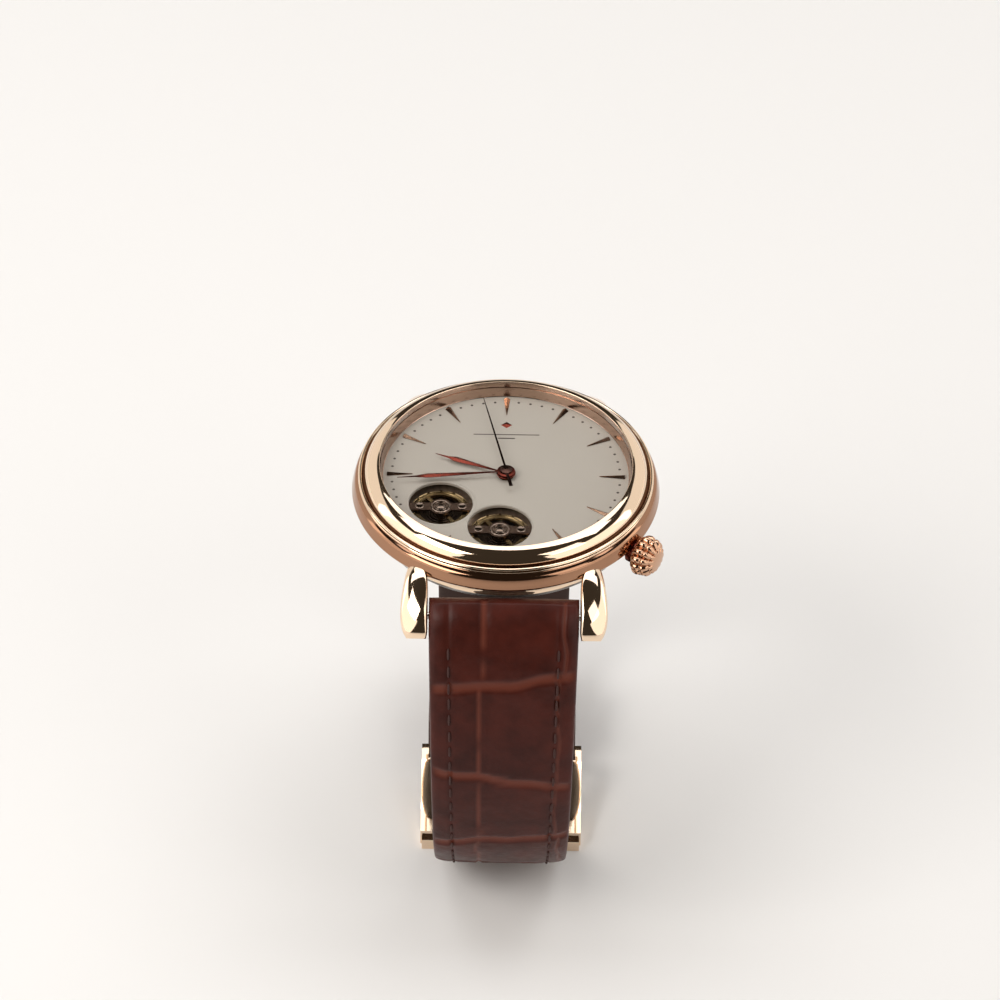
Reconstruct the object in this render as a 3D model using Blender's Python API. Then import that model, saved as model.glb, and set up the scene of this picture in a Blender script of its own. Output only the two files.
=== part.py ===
"""A three-hand dress wristwatch with two open balances and a closed leather strap.

Blender works in metres with +Z up. The watch stands on the bottom of its strap loop, dial upwards,
with 12 o'clock towards +Y and 3 o'clock towards +X. Shapes are drawn in millimetres and scaled once,
in node(). Every LEVEL is a height above the dial's upper face, so most of them are negative.
"""

import math

import bmesh
import bpy
from mathutils import Matrix, Vector

MM = 0.001
FULL_TURN = 2 * math.pi

# Driving dimensions, mm
DIAL_HEIGHT = 56.0
CASE_RADIUS = 20.0
BEZEL_RADIUS = 18.38
BEZEL_FLANGE_RADIUS = 19.2
OPENING_RADIUS = 16.4
CASE_BORE_RADIUS = 16.9
PLATE_RADIUS = 15.2
DIAL_RADIUS = 16.6
GAP = 0.1
FINE_GAP = 0.05
TURNED_STEPS = 48
FINE_STEPS = 24
PIVOT_STEPS = 12

# Levels of the movement's layers, mm
DIAL_THICKNESS = 0.4
MAIN_PLATE_TOP, MAIN_PLATE_BOTTOM = -1.45, -2.15
BRIDGE_TOP, BRIDGE_BOTTOM = -4.6, -5.0
CASE_BOTTOM = -5.6
CASE_BACK_BOTTOM = -6.8
PIVOT_RADIUS = 0.15
PIVOT_LOW, PIVOT_HIGH = -4.9, -1.5
CENTRE_WHEEL_LEVELS = -3.5, -3.3
CENTRE_PINION_LEVELS = -3.35, -2.3
THIRD_PINION_LEVELS = -3.85, -3.2
THIRD_WHEEL_LEVELS = -3.95, -3.75
SECONDS_PINION_LEVELS = -4.2, -3.65
SECONDS_WHEEL_LEVELS = -4.3, -4.1
DRUM_LEVELS = -3.2, -2.3
DRUM_TEETH_LEVELS = -2.6, -2.3

# Gear teeth, as shares of the module
ADDENDUM = 0.8
DEDENDUM = 1.2

# Hands at 9:43:58
SECONDS = 58.0
MINUTES = 43 + SECONDS / 60
HOURS = 9 + MINUTES / 60

# Apertures and balances, on either side of 7 o'clock
BALANCE_DISTANCE = 10.1
BALANCE_SPREAD = 26.0
APERTURE_RADIUS = 4.15

# Crown, near 4 o'clock
CROWN_ANGLE = math.radians(-32)
CROWN_LEVEL = -3.6

# Strap and lugs
LUG_GAP = 19.6
LUG_INNER = LUG_GAP / 2
LUG_OUTER = 13.3
STRAP_WIDTH = 19.3
BAR_DISTANCE = 21.2
BAR_LEVEL = -5.7
BAR_RADIUS = 0.75
TAIL_WIDTH = 17.0
TAIL_CENTRE = 2.25
TAIL_THICKNESS = 2.0
INNER_STRAP_CENTRE = 4.55
BUCKLE_Y = 2.0
BUCKLE_BAR_Z = 4.55


def clock_angle(clock_degrees):
    """The angle from +X, in radians, of a clockwise angle from 12 o'clock."""
    return math.radians(90 - clock_degrees)


def polar(distance, angle):
    return distance * math.cos(angle), distance * math.sin(angle)


# Materials


def material(name, colour, roughness, metallic):
    made = bpy.data.materials.new(name)
    made.use_nodes = True
    shader = made.node_tree.nodes["Principled BSDF"]
    shader.inputs["Base Color"].default_value = (*colour, 1)
    shader.inputs["Roughness"].default_value = roughness
    shader.inputs["Metallic"].default_value = metallic
    return made


FINISHES = {
    "rose_gold": ((0.83, 0.53, 0.37), 0.12, 1.0),
    "hand_metal": ((0.42, 0.13, 0.10), 0.2, 1.0),
    "dial_lacquer": ((0.78, 0.75, 0.69), 0.45, 0.0),
    "sapphire": ((0.95, 0.97, 1.0), 0.02, 0.0),
    "steel": ((0.60, 0.60, 0.62), 0.25, 1.0),
    "gilt_brass": ((0.72, 0.53, 0.28), 0.3, 1.0),
    "ruby": ((0.55, 0.03, 0.08), 0.1, 0.0),
    "gasket_rubber": ((0.03, 0.03, 0.03), 0.7, 0.0),
    "strap_leather": ((0.10, 0.03, 0.02), 0.35, 0.0),
}


# Solids, as bmeshes in millimetres


def turned(profile, steps=TURNED_STEPS, centre=(0, 0)):
    """A solid turned about Z from a closed outline of (radius, height) points."""
    bm = bmesh.new()
    rings = []
    for radius, height in profile:
        if radius == 0:
            rings.append([bm.verts.new((*centre, height))] * steps)
            continue
        ring = []
        for step in range(steps):
            x, y = polar(radius, FULL_TURN * step / steps)
            ring.append(bm.verts.new((centre[0] + x, centre[1] + y, height)))
        rings.append(ring)
    for ring, following in zip(rings, rings[1:] + rings[:1]):
        for step in range(steps):
            after = (step + 1) % steps
            corners = dict.fromkeys((ring[step], ring[after], following[after], following[step]))
            if len(corners) > 2:
                bm.faces.new(corners)
    bmesh.ops.recalc_face_normals(bm, faces=bm.faces)
    return bm


def rod(radius, low, high, centre=(0, 0), steps=PIVOT_STEPS):
    return turned([(0, low), (radius, low), (radius, high), (0, high)], steps, centre)


def tube(inner, outer, low, high, centre=(0, 0), steps=FINE_STEPS):
    return turned([(inner, low), (outer, low), (outer, high), (inner, high)], steps, centre)


def circle(radius, centre=(0, 0), steps=FINE_STEPS):
    points = []
    for step in range(steps):
        x, y = polar(radius, FULL_TURN * step / steps)
        points.append((centre[0] + x, centre[1] + y))
    return points


def extruded(outline, low, high, holes=()):
    """A flat plate between two heights, with its outline and holes as lists of (x, y) points."""
    bm = bmesh.new()
    for loop in (outline, *holes):
        verts = [bm.verts.new((x, y, low)) for x, y in loop]
        for start, end in zip(verts, verts[1:] + verts[:1]):
            bm.edges.new((start, end))
    bmesh.ops.triangle_fill(bm, use_beauty=True, edges=bm.edges[:], normal=(0, 0, 1))
    grown = bmesh.ops.extrude_face_region(bm, geom=bm.faces[:])
    raised = [item for item in grown["geom"] if isinstance(item, bmesh.types.BMVert)]
    bmesh.ops.translate(bm, verts=raised, vec=(0, 0, high - low))
    bmesh.ops.recalc_face_normals(bm, faces=bm.faces)
    return bm


def lofted(sections):
    """A solid through equal rings of 3-D points, closed with a face at each end."""
    bm = bmesh.new()
    rings = [[bm.verts.new(point) for point in section] for section in sections]
    for ring, following in zip(rings, rings[1:]):
        for index in range(len(ring)):
            after = (index + 1) % len(ring)
            bm.faces.new((ring[index], ring[after], following[after], following[index]))
    bm.faces.new(rings[0])
    bm.faces.new(rings[-1])
    bmesh.ops.recalc_face_normals(bm, faces=bm.faces)
    return bm


def placed(bm, matrix):
    bmesh.ops.transform(bm, matrix=matrix, verts=bm.verts)
    return bm


def loose_object(bm):
    mesh = bpy.data.meshes.new("solid")
    bm.to_mesh(mesh)
    obj = bpy.data.objects.new("solid", mesh)
    bpy.context.scene.collection.objects.link(obj)
    return obj


def boolean(operation, base, others):
    """The base joined with the others, or cut by them, with the exact solver."""
    target = loose_object(base)
    helpers = [loose_object(other) for other in others]
    for helper in helpers:
        modifier = target.modifiers.new("Boolean", "BOOLEAN")
        modifier.operation = operation
        modifier.object = helper
    result = bmesh.new()
    result.from_object(target, bpy.context.evaluated_depsgraph_get())
    for obj in (target, *helpers):
        bpy.data.objects.remove(obj)
    return result


def joined(base, *others):
    return boolean("UNION", base, others)


def cut(base, *cutters):
    return boolean("DIFFERENCE", base, cutters)


SHARP_ANGLE = math.radians(35)


def node(name, bm, finish, origin=(0, 0), level=0.0):
    """Makes the named object, with its origin at a point of its joint's axis, levels from the dial."""
    pivot = Vector((origin[0], origin[1], level))
    placed(bm, Matrix.Scale(MM, 4) @ Matrix.Translation(-pivot))
    mesh = bpy.data.meshes.new(name)
    bm.to_mesh(mesh)
    mesh.materials.append(MATERIALS[finish])
    mesh.shade_smooth()
    mesh.set_sharp_from_angle(angle=SHARP_ANGLE)
    obj = bpy.data.objects.new(name, mesh)
    obj.location = (pivot + Vector((0, 0, DIAL_HEIGHT))) * MM
    bpy.context.scene.collection.objects.link(obj)
    return obj


# Case

BEZEL_PROFILE = (
    (OPENING_RADIUS, 2.12),
    (16.55, 2.24),
    (17.1, 2.02),
    (17.8, 1.5),
    (18.25, 0.95),
    (BEZEL_RADIUS, 0.6),
    (18.25, 0.36),
    (18.7, 0.36),
    (18.95, 0.48),
    (BEZEL_FLANGE_RADIUS, 0.32),
    (19.1, 0.14),
    (18.2, 0.14),
    (18.2, -0.2),
    (17.2, -0.2),
    (17.2, 0.9),
    (OPENING_RADIUS, 1.2),
)
CASE_PROFILE = (
    (CASE_BORE_RADIUS, -0.3),
    (18.3, -0.3),
    (18.3, 0.04),
    (19.1, 0.04),
    (BEZEL_FLANGE_RADIUS, -0.06),
    (19.0, -0.3),
    (19.4, -0.55),
    (19.65, -0.85),
    (19.88, -1.8),
    (CASE_RADIUS, -2.3),
    (19.85, -2.6),
    (18.9, -3.15),
    (18.0, -3.9),
    (17.4, -4.8),
    (17.25, CASE_BOTTOM),
    (CASE_BORE_RADIUS, CASE_BOTTOM),
)
# Each lug station: y, level of its middle, half thickness, inner x and outer x
LUG_STATIONS = (
    (14.9, -2.5, 1.0, 10.5, 12.3),
    (16.8, -2.9, 1.2, 9.95, 12.75),
    (18.4, -3.9, 1.45, LUG_INNER, 13.1),
    (20.0, -5.15, 1.7, LUG_INNER, LUG_OUTER),
    (21.4, -6.35, 1.65, LUG_INNER, LUG_OUTER),
    (22.5, -7.3, 1.3, LUG_INNER, 13.0),
    (23.1, -8.0, 0.7, 9.95, 12.5),
)
LUG_CORNERS = 10
LUG_SQUARENESS = 0.6


def lug():
    """The lug on the +X, +Y side: a bent horn, widest at its middle, with rounded faces."""
    sections = []
    for index, (y, level, half, inner, outer) in enumerate(LUG_STATIONS):
        before = LUG_STATIONS[max(index - 1, 0)]
        after = LUG_STATIONS[min(index + 1, len(LUG_STATIONS) - 1)]
        run = Vector((after[0] - before[0], after[1] - before[1])).normalized()
        section = []
        for corner in range(LUG_CORNERS):
            angle = FULL_TURN * (corner + 0.5) / LUG_CORNERS
            across = math.copysign(abs(math.cos(angle)) ** LUG_SQUARENESS, math.cos(angle))
            up = math.copysign(abs(math.sin(angle)) ** LUG_SQUARENESS, math.sin(angle))
            x = (inner + outer) / 2 + across * (outer - inner) / 2
            section.append((x, y - run.y * up * half, level + run.x * up * half))
        sections.append(section)
    return lofted(sections)


def along_crown(bm):
    """Turns a solid drawn along Z so that it lies along the crown's axis."""
    turn = Matrix.Rotation(CROWN_ANGLE, 4, "Z") @ Matrix.Rotation(math.radians(90), 4, "Y")
    return placed(bm, Matrix.Translation((0, 0, CROWN_LEVEL)) @ turn)


def across_strap(bm, y, level):
    """Turns a solid drawn along Z so that it lies along X."""
    turn = Matrix.Rotation(math.radians(90), 4, "Y")
    return placed(bm, Matrix.Translation((0, y, level)) @ turn)


CROWN_TUBE_RADIUS = 0.95
LUG_HOLE_DEPTH = 1.1


def make_case():
    lugs = []
    for across in (1, -1):
        for along in (1, -1):
            horn = placed(lug(), Matrix.Diagonal((across, along, 1, 1)))
            bmesh.ops.recalc_face_normals(horn, faces=horn.faces)
            lugs.append(horn)
    body = joined(turned(CASE_PROFILE), *lugs)
    reach = LUG_GAP / 2 + LUG_HOLE_DEPTH
    drills = [along_crown(rod(CROWN_TUBE_RADIUS + FINE_GAP, 14, 22, steps=FINE_STEPS))]
    for side in (1, -1):
        drills.append(across_strap(rod(BAR_RADIUS + GAP, -reach, reach), side * BAR_DISTANCE, BAR_LEVEL))
    node("mid_case", cut(body, *drills), "rose_gold")
    node("bezel", turned(BEZEL_PROFILE), "rose_gold")
    edge = OPENING_RADIUS - FINE_GAP
    glass = [(0, 1.35), (edge, 1.35), (edge, 2.0), (edge - 0.2, 2.12), (edge / 2, 2.33), (0, 2.4)]
    node("crystal", turned(glass), "sapphire")
    flange = [(15.95, 0.08), (16.5, 0.08), (16.5, 0.9), (16.3, 1.1), (16.3, 1.28), (16.2, 1.28)]
    node("rehaut_ring", turned(flange), "rose_gold")
    back = [
        (0, -5.75), (15.9, -5.75), (15.9, -5.1), (16.7, -5.1), (16.7, -5.7), (17.2, -5.7),
        (17.2, -6.0), (16.2, CASE_BACK_BOTTOM), (0, CASE_BACK_BOTTOM),
    ]
    node("case_back", turned(back), "steel")
    node("bezel_gasket", tube(17.0, 17.15, 0.2, 0.85, steps=TURNED_STEPS), "gasket_rubber")
    node("back_gasket", tube(16.0, 16.6, -5.05, -4.8, steps=TURNED_STEPS), "gasket_rubber")
    ring = tube(PLATE_RADIUS + GAP, 16.7, -4.7, -0.5, steps=TURNED_STEPS)
    slot = along_crown(rod(0.6, 14, 18))
    node("movement_ring", cut(ring, slot), "steel")


# Dial and hands

MARKERS_AT_HOURS = (1, 2, 3, 4, 5, 7, 9, 10, 11, 12)
MARKER_LENGTHS = {7: 1.5}
MARKER_END = 15.45
MARKER_LENGTH = 3.3
MARKER_HALF_WIDTH = 0.42


def make_dial():
    apertures = [circle(APERTURE_RADIUS, place) for place in BALANCE_PLACES.values()]
    outline = circle(DIAL_RADIUS, steps=TURNED_STEPS)
    dial = extruded(outline, -DIAL_THICKNESS, 0, [circle(1.0), *apertures])
    node("dial", dial, "dial_lacquer")
    for hour in MARKERS_AT_HOURS:
        length = MARKER_LENGTHS.get(hour, MARKER_LENGTH)
        width = MARKER_HALF_WIDTH * length / MARKER_LENGTH
        inner = MARKER_END - length
        low, ridge = FINE_GAP, 0.35
        sections = (
            [(MARKER_END, -width, low), (MARKER_END, width, low), (MARKER_END, 0, ridge)],
            [(inner, -0.04, low), (inner, 0.04, low), (inner, 0, 0.15)],
        )
        turn = Matrix.Rotation(clock_angle(30 * hour), 4, "Z")
        node(f"marker_{hour:02d}", placed(lofted(sections), turn), "hand_metal")


def leaf_hand(length, half_width, belly, hub, bore, low, high, clock_degrees):
    """A hand with a narrow neck, a widest point at its belly, and a needle tip."""
    neck = half_width * 0.35
    side = [(belly * 0.35, neck), (belly, half_width), (belly + 0.12 * length, half_width * 0.4)]
    blade = [(0, neck), *side, (length, 0.05)]
    outline = blade + [(x, -y) for x, y in reversed(blade)]
    solid = joined(
        tube(bore, hub, low, high),
        cut(extruded(outline, low, high), rod(bore + (hub - bore) / 2, low - 1, high + 1)),
    )
    return placed(solid, Matrix.Rotation(clock_angle(clock_degrees), 4, "Z"))


def make_hands():
    hour = leaf_hand(9.9, 0.55, 6.9, 1.25, 0.90, 0.42, 0.56, 30 * HOURS)
    node("hour_hand", hour, "hand_metal")
    minute = leaf_hand(14.2, 0.48, 10.0, 1.15, 0.67, 0.72, 0.84, 6 * MINUTES)
    node("minute_hand", minute, "hand_metal")
    low, high = 1.0, 1.1
    side = [(-3.2, 0.16), (0, 0.1), (14.9, 0.03)]
    needle = extruded([(x, -y) for x, y in side] + side[::-1], low, high)
    cap = turned([(0, low), (0.8, low), (0.8, high), (0.4, 1.22), (0, 1.25)], FINE_STEPS)
    seconds = placed(joined(cap, needle), Matrix.Rotation(clock_angle(6 * SECONDS), 4, "Z"))
    node("seconds_hand", seconds, "hand_metal")


# Gear train

SECONDS_TEETH, SECONDS_PINION = 48, 6
THIRD_TEETH, THIRD_PINION = 45, 6
CENTRE_TEETH, CENTRE_PINION = 48, 8
BARREL_TEETH = 48
DRUM_RADIUS = 4.6
ESCAPE_TEETH, ESCAPE_PINION = 15, 6
CANNON_TEETH, MINUTE_TEETH = 8, 24
MINUTE_PINION, HOUR_TEETH = 8, 32

THIRD_DISTANCE, THIRD_ANGLE = 4.6, math.radians(60)
BARREL_DISTANCE, BARREL_ANGLE = 6.6, math.radians(150)
ESCAPE_DISTANCE = 4.4
MINUTE_DISTANCE, MINUTE_ANGLE = 3.2, math.radians(-20)


def balance_angle(side):
    return clock_angle(210 - side * BALANCE_SPREAD)


BALANCE_PLACES = {
    "lower": polar(BALANCE_DISTANCE, balance_angle(1)),
    "left": polar(BALANCE_DISTANCE, balance_angle(-1)),
}
THIRD_PLACE = polar(THIRD_DISTANCE, THIRD_ANGLE)
BARREL_PLACE = polar(BARREL_DISTANCE, BARREL_ANGLE)
ESCAPE_ANGLE = balance_angle(1)
ESCAPE_PLACE = polar(ESCAPE_DISTANCE, ESCAPE_ANGLE)
PALLET_PLACE = polar(ESCAPE_DISTANCE + 2.9, ESCAPE_ANGLE)
MINUTE_PLACE = polar(MINUTE_DISTANCE, MINUTE_ANGLE)


def module_for(distance, teeth, pinion):
    return 2 * distance / (teeth + pinion)


def teeth_outline(teeth, module, phase, centre=(0, 0)):
    """Pointed teeth about a centre, one of them pointing along the phase angle."""
    pitch = teeth * module / 2
    points = []
    for step in range(2 * teeth):
        radius = pitch + module * (ADDENDUM if step % 2 == 0 else -DEDENDUM)
        x, y = polar(radius, phase + math.pi * step / teeth)
        points.append((centre[0] + x, centre[1] + y))
    return points


def mating_phase(teeth, angle):
    """The phase that puts a gap towards the mating gear, which lies along the angle."""
    return angle + math.pi / teeth


def mesh_pair(distance, angle, inner, inner_place, outer, outer_place):
    """Outlines of two gears in mesh, with the second at this distance and angle from the first."""
    module = module_for(distance, inner, outer)
    first = teeth_outline(inner, module, angle, inner_place)
    second = teeth_outline(outer, module, mating_phase(outer, angle + math.pi), outer_place)
    return first, second


def make_train():
    centre = (0, 0)
    pinion, drum_teeth = mesh_pair(
        BARREL_DISTANCE, BARREL_ANGLE, CENTRE_PINION, centre, BARREL_TEETH, BARREL_PLACE
    )
    wheel, third_pinion = mesh_pair(
        THIRD_DISTANCE, THIRD_ANGLE, CENTRE_TEETH, centre, THIRD_PINION, THIRD_PLACE
    )
    seconds_pinion, third_wheel = mesh_pair(
        THIRD_DISTANCE, THIRD_ANGLE, SECONDS_PINION, centre, THIRD_TEETH, THIRD_PLACE
    )
    seconds_wheel, escape_pinion = mesh_pair(
        ESCAPE_DISTANCE, ESCAPE_ANGLE, SECONDS_TEETH, centre, ESCAPE_PINION, ESCAPE_PLACE
    )
    bore = [circle(0.28, steps=PIVOT_STEPS)]
    sleeve = tube(0.28, 0.42, -3.5, 0.7, steps=PIVOT_STEPS)
    centre_wheel = joined(
        extruded(wheel, *CENTRE_WHEEL_LEVELS, [circle(0.35, steps=PIVOT_STEPS)]),
        extruded(pinion, *CENTRE_PINION_LEVELS, bore),
        sleeve,
    )
    node("centre_wheel", centre_wheel, "gilt_brass")
    third = joined(
        rod(PIVOT_RADIUS, PIVOT_LOW, PIVOT_HIGH, THIRD_PLACE),
        extruded(third_pinion, *THIRD_PINION_LEVELS),
        extruded(third_wheel, *THIRD_WHEEL_LEVELS),
    )
    node("third_wheel", third, "gilt_brass", THIRD_PLACE, -3.85)
    seconds = joined(
        rod(0.2, PIVOT_LOW, 0.95),
        extruded(seconds_pinion, *SECONDS_PINION_LEVELS),
        extruded(seconds_wheel, *SECONDS_WHEEL_LEVELS),
    )
    node("seconds_wheel", seconds, "gilt_brass")
    barrel = joined(
        rod(0.5, PIVOT_LOW, PIVOT_HIGH, BARREL_PLACE),
        rod(DRUM_RADIUS, *DRUM_LEVELS, BARREL_PLACE, TURNED_STEPS),
        extruded(drum_teeth, *DRUM_TEETH_LEVELS),
    )
    node("mainspring_barrel", barrel, "gilt_brass", BARREL_PLACE, -2.8)
    make_escapement(escape_pinion)


ESCAPE_TIP, ESCAPE_ROOT = 1.9, 1.35
ESCAPE_HOOK, ESCAPE_HEEL = 0.35, 0.6
ESCAPE_PINION_LEVELS = -4.35, -3.8


def make_escapement(escape_pinion):
    x, y = ESCAPE_PLACE
    club = []
    for tooth in range(ESCAPE_TEETH):
        angle = FULL_TURN * tooth / ESCAPE_TEETH
        for radius, lead in ((ESCAPE_ROOT, 0), (ESCAPE_TIP, ESCAPE_HOOK), (ESCAPE_TIP - 0.1, ESCAPE_HEEL)):
            dx, dy = polar(radius, angle + lead * FULL_TURN / ESCAPE_TEETH)
            club.append((x + dx, y + dy))
    escape = joined(
        rod(PIVOT_RADIUS, PIVOT_LOW, PIVOT_HIGH, ESCAPE_PLACE),
        extruded(escape_pinion, *ESCAPE_PINION_LEVELS),
        extruded(club, *THIRD_WHEEL_LEVELS),
    )
    node("escape_wheel", escape, "steel", ESCAPE_PLACE, -3.85)

    # The fork is drawn along +X from its pivot, with its stones reaching back to the escape wheel.
    anchor = [(-1.0, -1.9), (-0.3, -1.5), (0.3, -0.35), (1.9, -0.2), (2.3, -0.45), (2.3, -0.2), (2.0, 0),
              (2.3, 0.2), (2.3, 0.45), (1.9, 0.2), (0.3, 0.35), (-0.3, 1.5), (-1.0, 1.9), (-0.7, 1.1),
              (-0.35, 0), (-0.7, -1.1)]
    turn = Matrix.Translation((*PALLET_PLACE, 0)) @ Matrix.Rotation(ESCAPE_ANGLE, 4, "Z")
    lever = joined(rod(PIVOT_RADIUS, PIVOT_LOW, PIVOT_HIGH), extruded(anchor, *THIRD_WHEEL_LEVELS))
    node("pallet_fork", placed(lever, turn), "steel", PALLET_PLACE, -3.85)


def make_motion_works():
    cannon, minute_wheel = mesh_pair(
        MINUTE_DISTANCE, MINUTE_ANGLE, CANNON_TEETH, (0, 0), MINUTE_TEETH, MINUTE_PLACE
    )
    hour_wheel, minute_pinion = mesh_pair(
        MINUTE_DISTANCE, MINUTE_ANGLE, HOUR_TEETH, (0, 0), MINUTE_PINION, MINUTE_PLACE
    )
    pipe = joined(
        tube(0.47, 0.62, -1.35, 0.9, steps=PIVOT_STEPS),
        extruded(cannon, -1.35, -1.05, [circle(0.5, steps=PIVOT_STEPS)]),
    )
    node("cannon_pinion", pipe, "steel")
    hole = circle(0.3, MINUTE_PLACE, PIVOT_STEPS)
    wheel = joined(
        extruded(minute_wheel, -1.3, -1.1, [hole]),
        extruded(minute_pinion, -1.2, -0.6, [hole]),
    )
    node("minute_wheel", wheel, "gilt_brass", MINUTE_PLACE, -1.2)
    hour = joined(
        tube(0.70, 0.85, -0.85, 0.6, steps=PIVOT_STEPS),
        extruded(hour_wheel, -0.85, -0.65, [circle(0.78, steps=PIVOT_STEPS)]),
    )
    node("hour_wheel", hour, "gilt_brass")


# Balances

RIM_INNER, RIM_OUTER = 2.9, 3.5
SPRING_TURNS = 3.5
SPRING_STEPS = 16
SPRING_PITCH = 0.42
SPRING_START = 0.75
SPRING_HALF_THICKNESS = 0.05
SPOKE_ANGLE = math.radians(-55)
BALANCE_BRIDGE_TOP, BALANCE_BRIDGE_BOTTOM = -0.55, -0.85
BRIDGE_BOSS_RADIUS = 1.5
JEWEL_SEAT_RADIUS = 0.6


def spiral(centre):
    """The outline of a hairspring: out along its outer edge, and back along its inner edge."""
    edges = []
    for side in (1, -1):
        points = []
        for step in range(int(SPRING_TURNS * SPRING_STEPS) + 1):
            angle = FULL_TURN * step / SPRING_STEPS
            radius = SPRING_START + SPRING_PITCH * step / SPRING_STEPS + side * SPRING_HALF_THICKNESS
            x, y = polar(radius, angle)
            points.append((centre[0] + x, centre[1] + y))
        edges.append(points)
    return edges[0] + edges[1][::-1]


def spoke(half_width, start, end, angle, centre):
    turn = Matrix.Rotation(angle, 2)
    corners = [(start, -half_width), (end, -half_width), (end, half_width), (start, half_width)]
    return [tuple(turn @ Vector(corner) + Vector(centre)) for corner in corners]


def make_balance(name, centre):
    rim = tube(RIM_INNER, RIM_OUTER, -1.45, -1.1, centre)
    arms = extruded(spoke(0.25, -3.1, 3.1, SPOKE_ANGLE, centre), -1.4, -1.15)
    staff = turned([(0, -4.9), (0.12, -4.9), (0.12, -4.2), (0.3, -4.1), (0.3, -2.2), (0.45, -2.1),
                    (0.45, -1.5), (0.7, -1.45), (0.7, -1.1), (0.3, -1.0), (0.12, -0.95), (0.12, -0.6),
                    (0, -0.6)], PIVOT_STEPS, centre)
    node(f"balance_wheel_{name}", joined(rim, arms, staff), "gilt_brass", centre, -1.3)
    collet = tube(0.5, 0.78, -1.85, -1.65, centre, PIVOT_STEPS)
    spring = joined(collet, extruded(spiral(centre), -1.82, -1.68))
    node(f"hairspring_{name}", spring, "steel", centre, -1.75)

    # The bridge's two feet stand on the main plate, outside the balance's rim.
    arms = [rod(BRIDGE_BOSS_RADIUS, BALANCE_BRIDGE_BOTTOM, BALANCE_BRIDGE_TOP, centre, FINE_STEPS)]
    for angle in (0, math.pi):
        span = spoke(0.7, 0, 5.1, angle, centre)
        foot = spoke(0.9, 4.3, 5.4, angle, centre)
        arms.append(extruded(span, BALANCE_BRIDGE_BOTTOM, BALANCE_BRIDGE_TOP))
        arms.append(extruded(foot, MAIN_PLATE_TOP + FINE_GAP, BALANCE_BRIDGE_TOP))
    bridge = cut(joined(*arms), rod(JEWEL_SEAT_RADIUS, -2, 0, centre, FINE_STEPS))
    node(f"balance_bridge_{name}", bridge, "steel")
    jewel = tube(0.2, 0.55, -0.8, -0.5, centre, PIVOT_STEPS)
    node(f"jewel_{name}", jewel, "ruby")


# Plates

PILLAR_ANGLES = tuple(math.radians(angle) for angle in (70, -60, -175))
PILLAR_DISTANCE = 13.9
PILLAR_RADIUS = 0.7


def make_plates():
    pivots = (THIRD_PLACE, ESCAPE_PLACE, PALLET_PLACE)
    windows = [circle(3.9, place) for place in BALANCE_PLACES.values()]
    holes = [circle(PIVOT_RADIUS + FINE_GAP, place, PIVOT_STEPS) for place in pivots[:2]]
    holes.append(circle(0.55, steps=PIVOT_STEPS))
    holes.append(circle(0.6, BARREL_PLACE, PIVOT_STEPS))
    outline = circle(PLATE_RADIUS, steps=TURNED_STEPS)
    plate = extruded(outline, MAIN_PLATE_BOTTOM, MAIN_PLATE_TOP, windows + holes)
    pillars = []
    for angle in PILLAR_ANGLES:
        place = polar(PILLAR_DISTANCE, angle)
        pillars.append(rod(PILLAR_RADIUS, BRIDGE_TOP + GAP, MAIN_PLATE_BOTTOM + 0.3, place))
    stud = rod(0.22, MAIN_PLATE_TOP - 0.3, -0.55, MINUTE_PLACE)
    node("main_plate", joined(plate, *pillars, stud), "gilt_brass")

    holes = [circle(PIVOT_RADIUS + FINE_GAP, place, PIVOT_STEPS) for place in pivots]
    holes += [circle(0.2, place, PIVOT_STEPS) for place in BALANCE_PLACES.values()]
    holes += [circle(0.25, steps=PIVOT_STEPS), circle(0.6, BARREL_PLACE, PIVOT_STEPS)]
    node("train_bridge", extruded(outline, BRIDGE_BOTTOM, BRIDGE_TOP, holes), "gilt_brass")

    post = [(0, -5.65), (1.3, -5.65), (1.3, -5.58), (0.9, -5.58), (0.9, -5.05), (0, -5.05)]
    node("rotor_bearing", turned(post, FINE_STEPS), "steel")
    weight = []
    for step in range(TURNED_STEPS // 2 + 1):
        weight.append(polar(14.6, math.pi + math.pi * step / (TURNED_STEPS // 2)))
    hub = [polar(2.4, math.pi * step / PIVOT_STEPS) for step in range(PIVOT_STEPS + 1)]
    rotor = extruded(weight + hub, -5.5, -5.15, [circle(1.0)])
    node("rotor", rotor, "steel", level=-5.3)


# Crown

CROWN_STEPS = 28
CROWN_RADIUS = 2.7
CROWN_START, CROWN_END = 20.3, 23.4


def make_crown():
    """A fluted onion crown on its stem. Distances run outwards from the watch's middle."""
    flutes = []
    for step in range(2 * CROWN_STEPS):
        flutes.append(polar(CROWN_RADIUS - (0.35 if step % 2 else 0), math.pi * step / CROWN_STEPS))
    rings = []
    for distance, share in ((CROWN_START, 0.72), (20.9, 0.93), (21.8, 1.0), (22.7, 0.9), (CROWN_END, 0.55)):
        rings.append([(x * share, y * share, distance) for x, y in flutes])
    node("crown", along_crown(lofted(rings)), "rose_gold", polar(CROWN_START, CROWN_ANGLE), CROWN_LEVEL)
    tube_solid = along_crown(tube(0.55, CROWN_TUBE_RADIUS, 17.2, 20.2))
    node("crown_tube", tube_solid, "steel")
    stem = along_crown(rod(0.35, 8.0, CROWN_START - FINE_GAP))
    node("winding_stem", stem, "steel", polar(CROWN_START, CROWN_ANGLE), CROWN_LEVEL)
    pinion = extruded(teeth_outline(12, 0.13, 0), 9.0, 10.4, [circle(0.4, steps=PIVOT_STEPS)])
    node("winding_pinion", along_crown(pinion), "steel", polar(9.7, CROWN_ANGLE), CROWN_LEVEL)
    lever = along_crown(tube(0.4, 0.85, 12.4, 12.9, steps=PIVOT_STEPS))
    node("setting_lever", lever, "steel", polar(12.65, CROWN_ANGLE), CROWN_LEVEL)


# Strap


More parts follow.
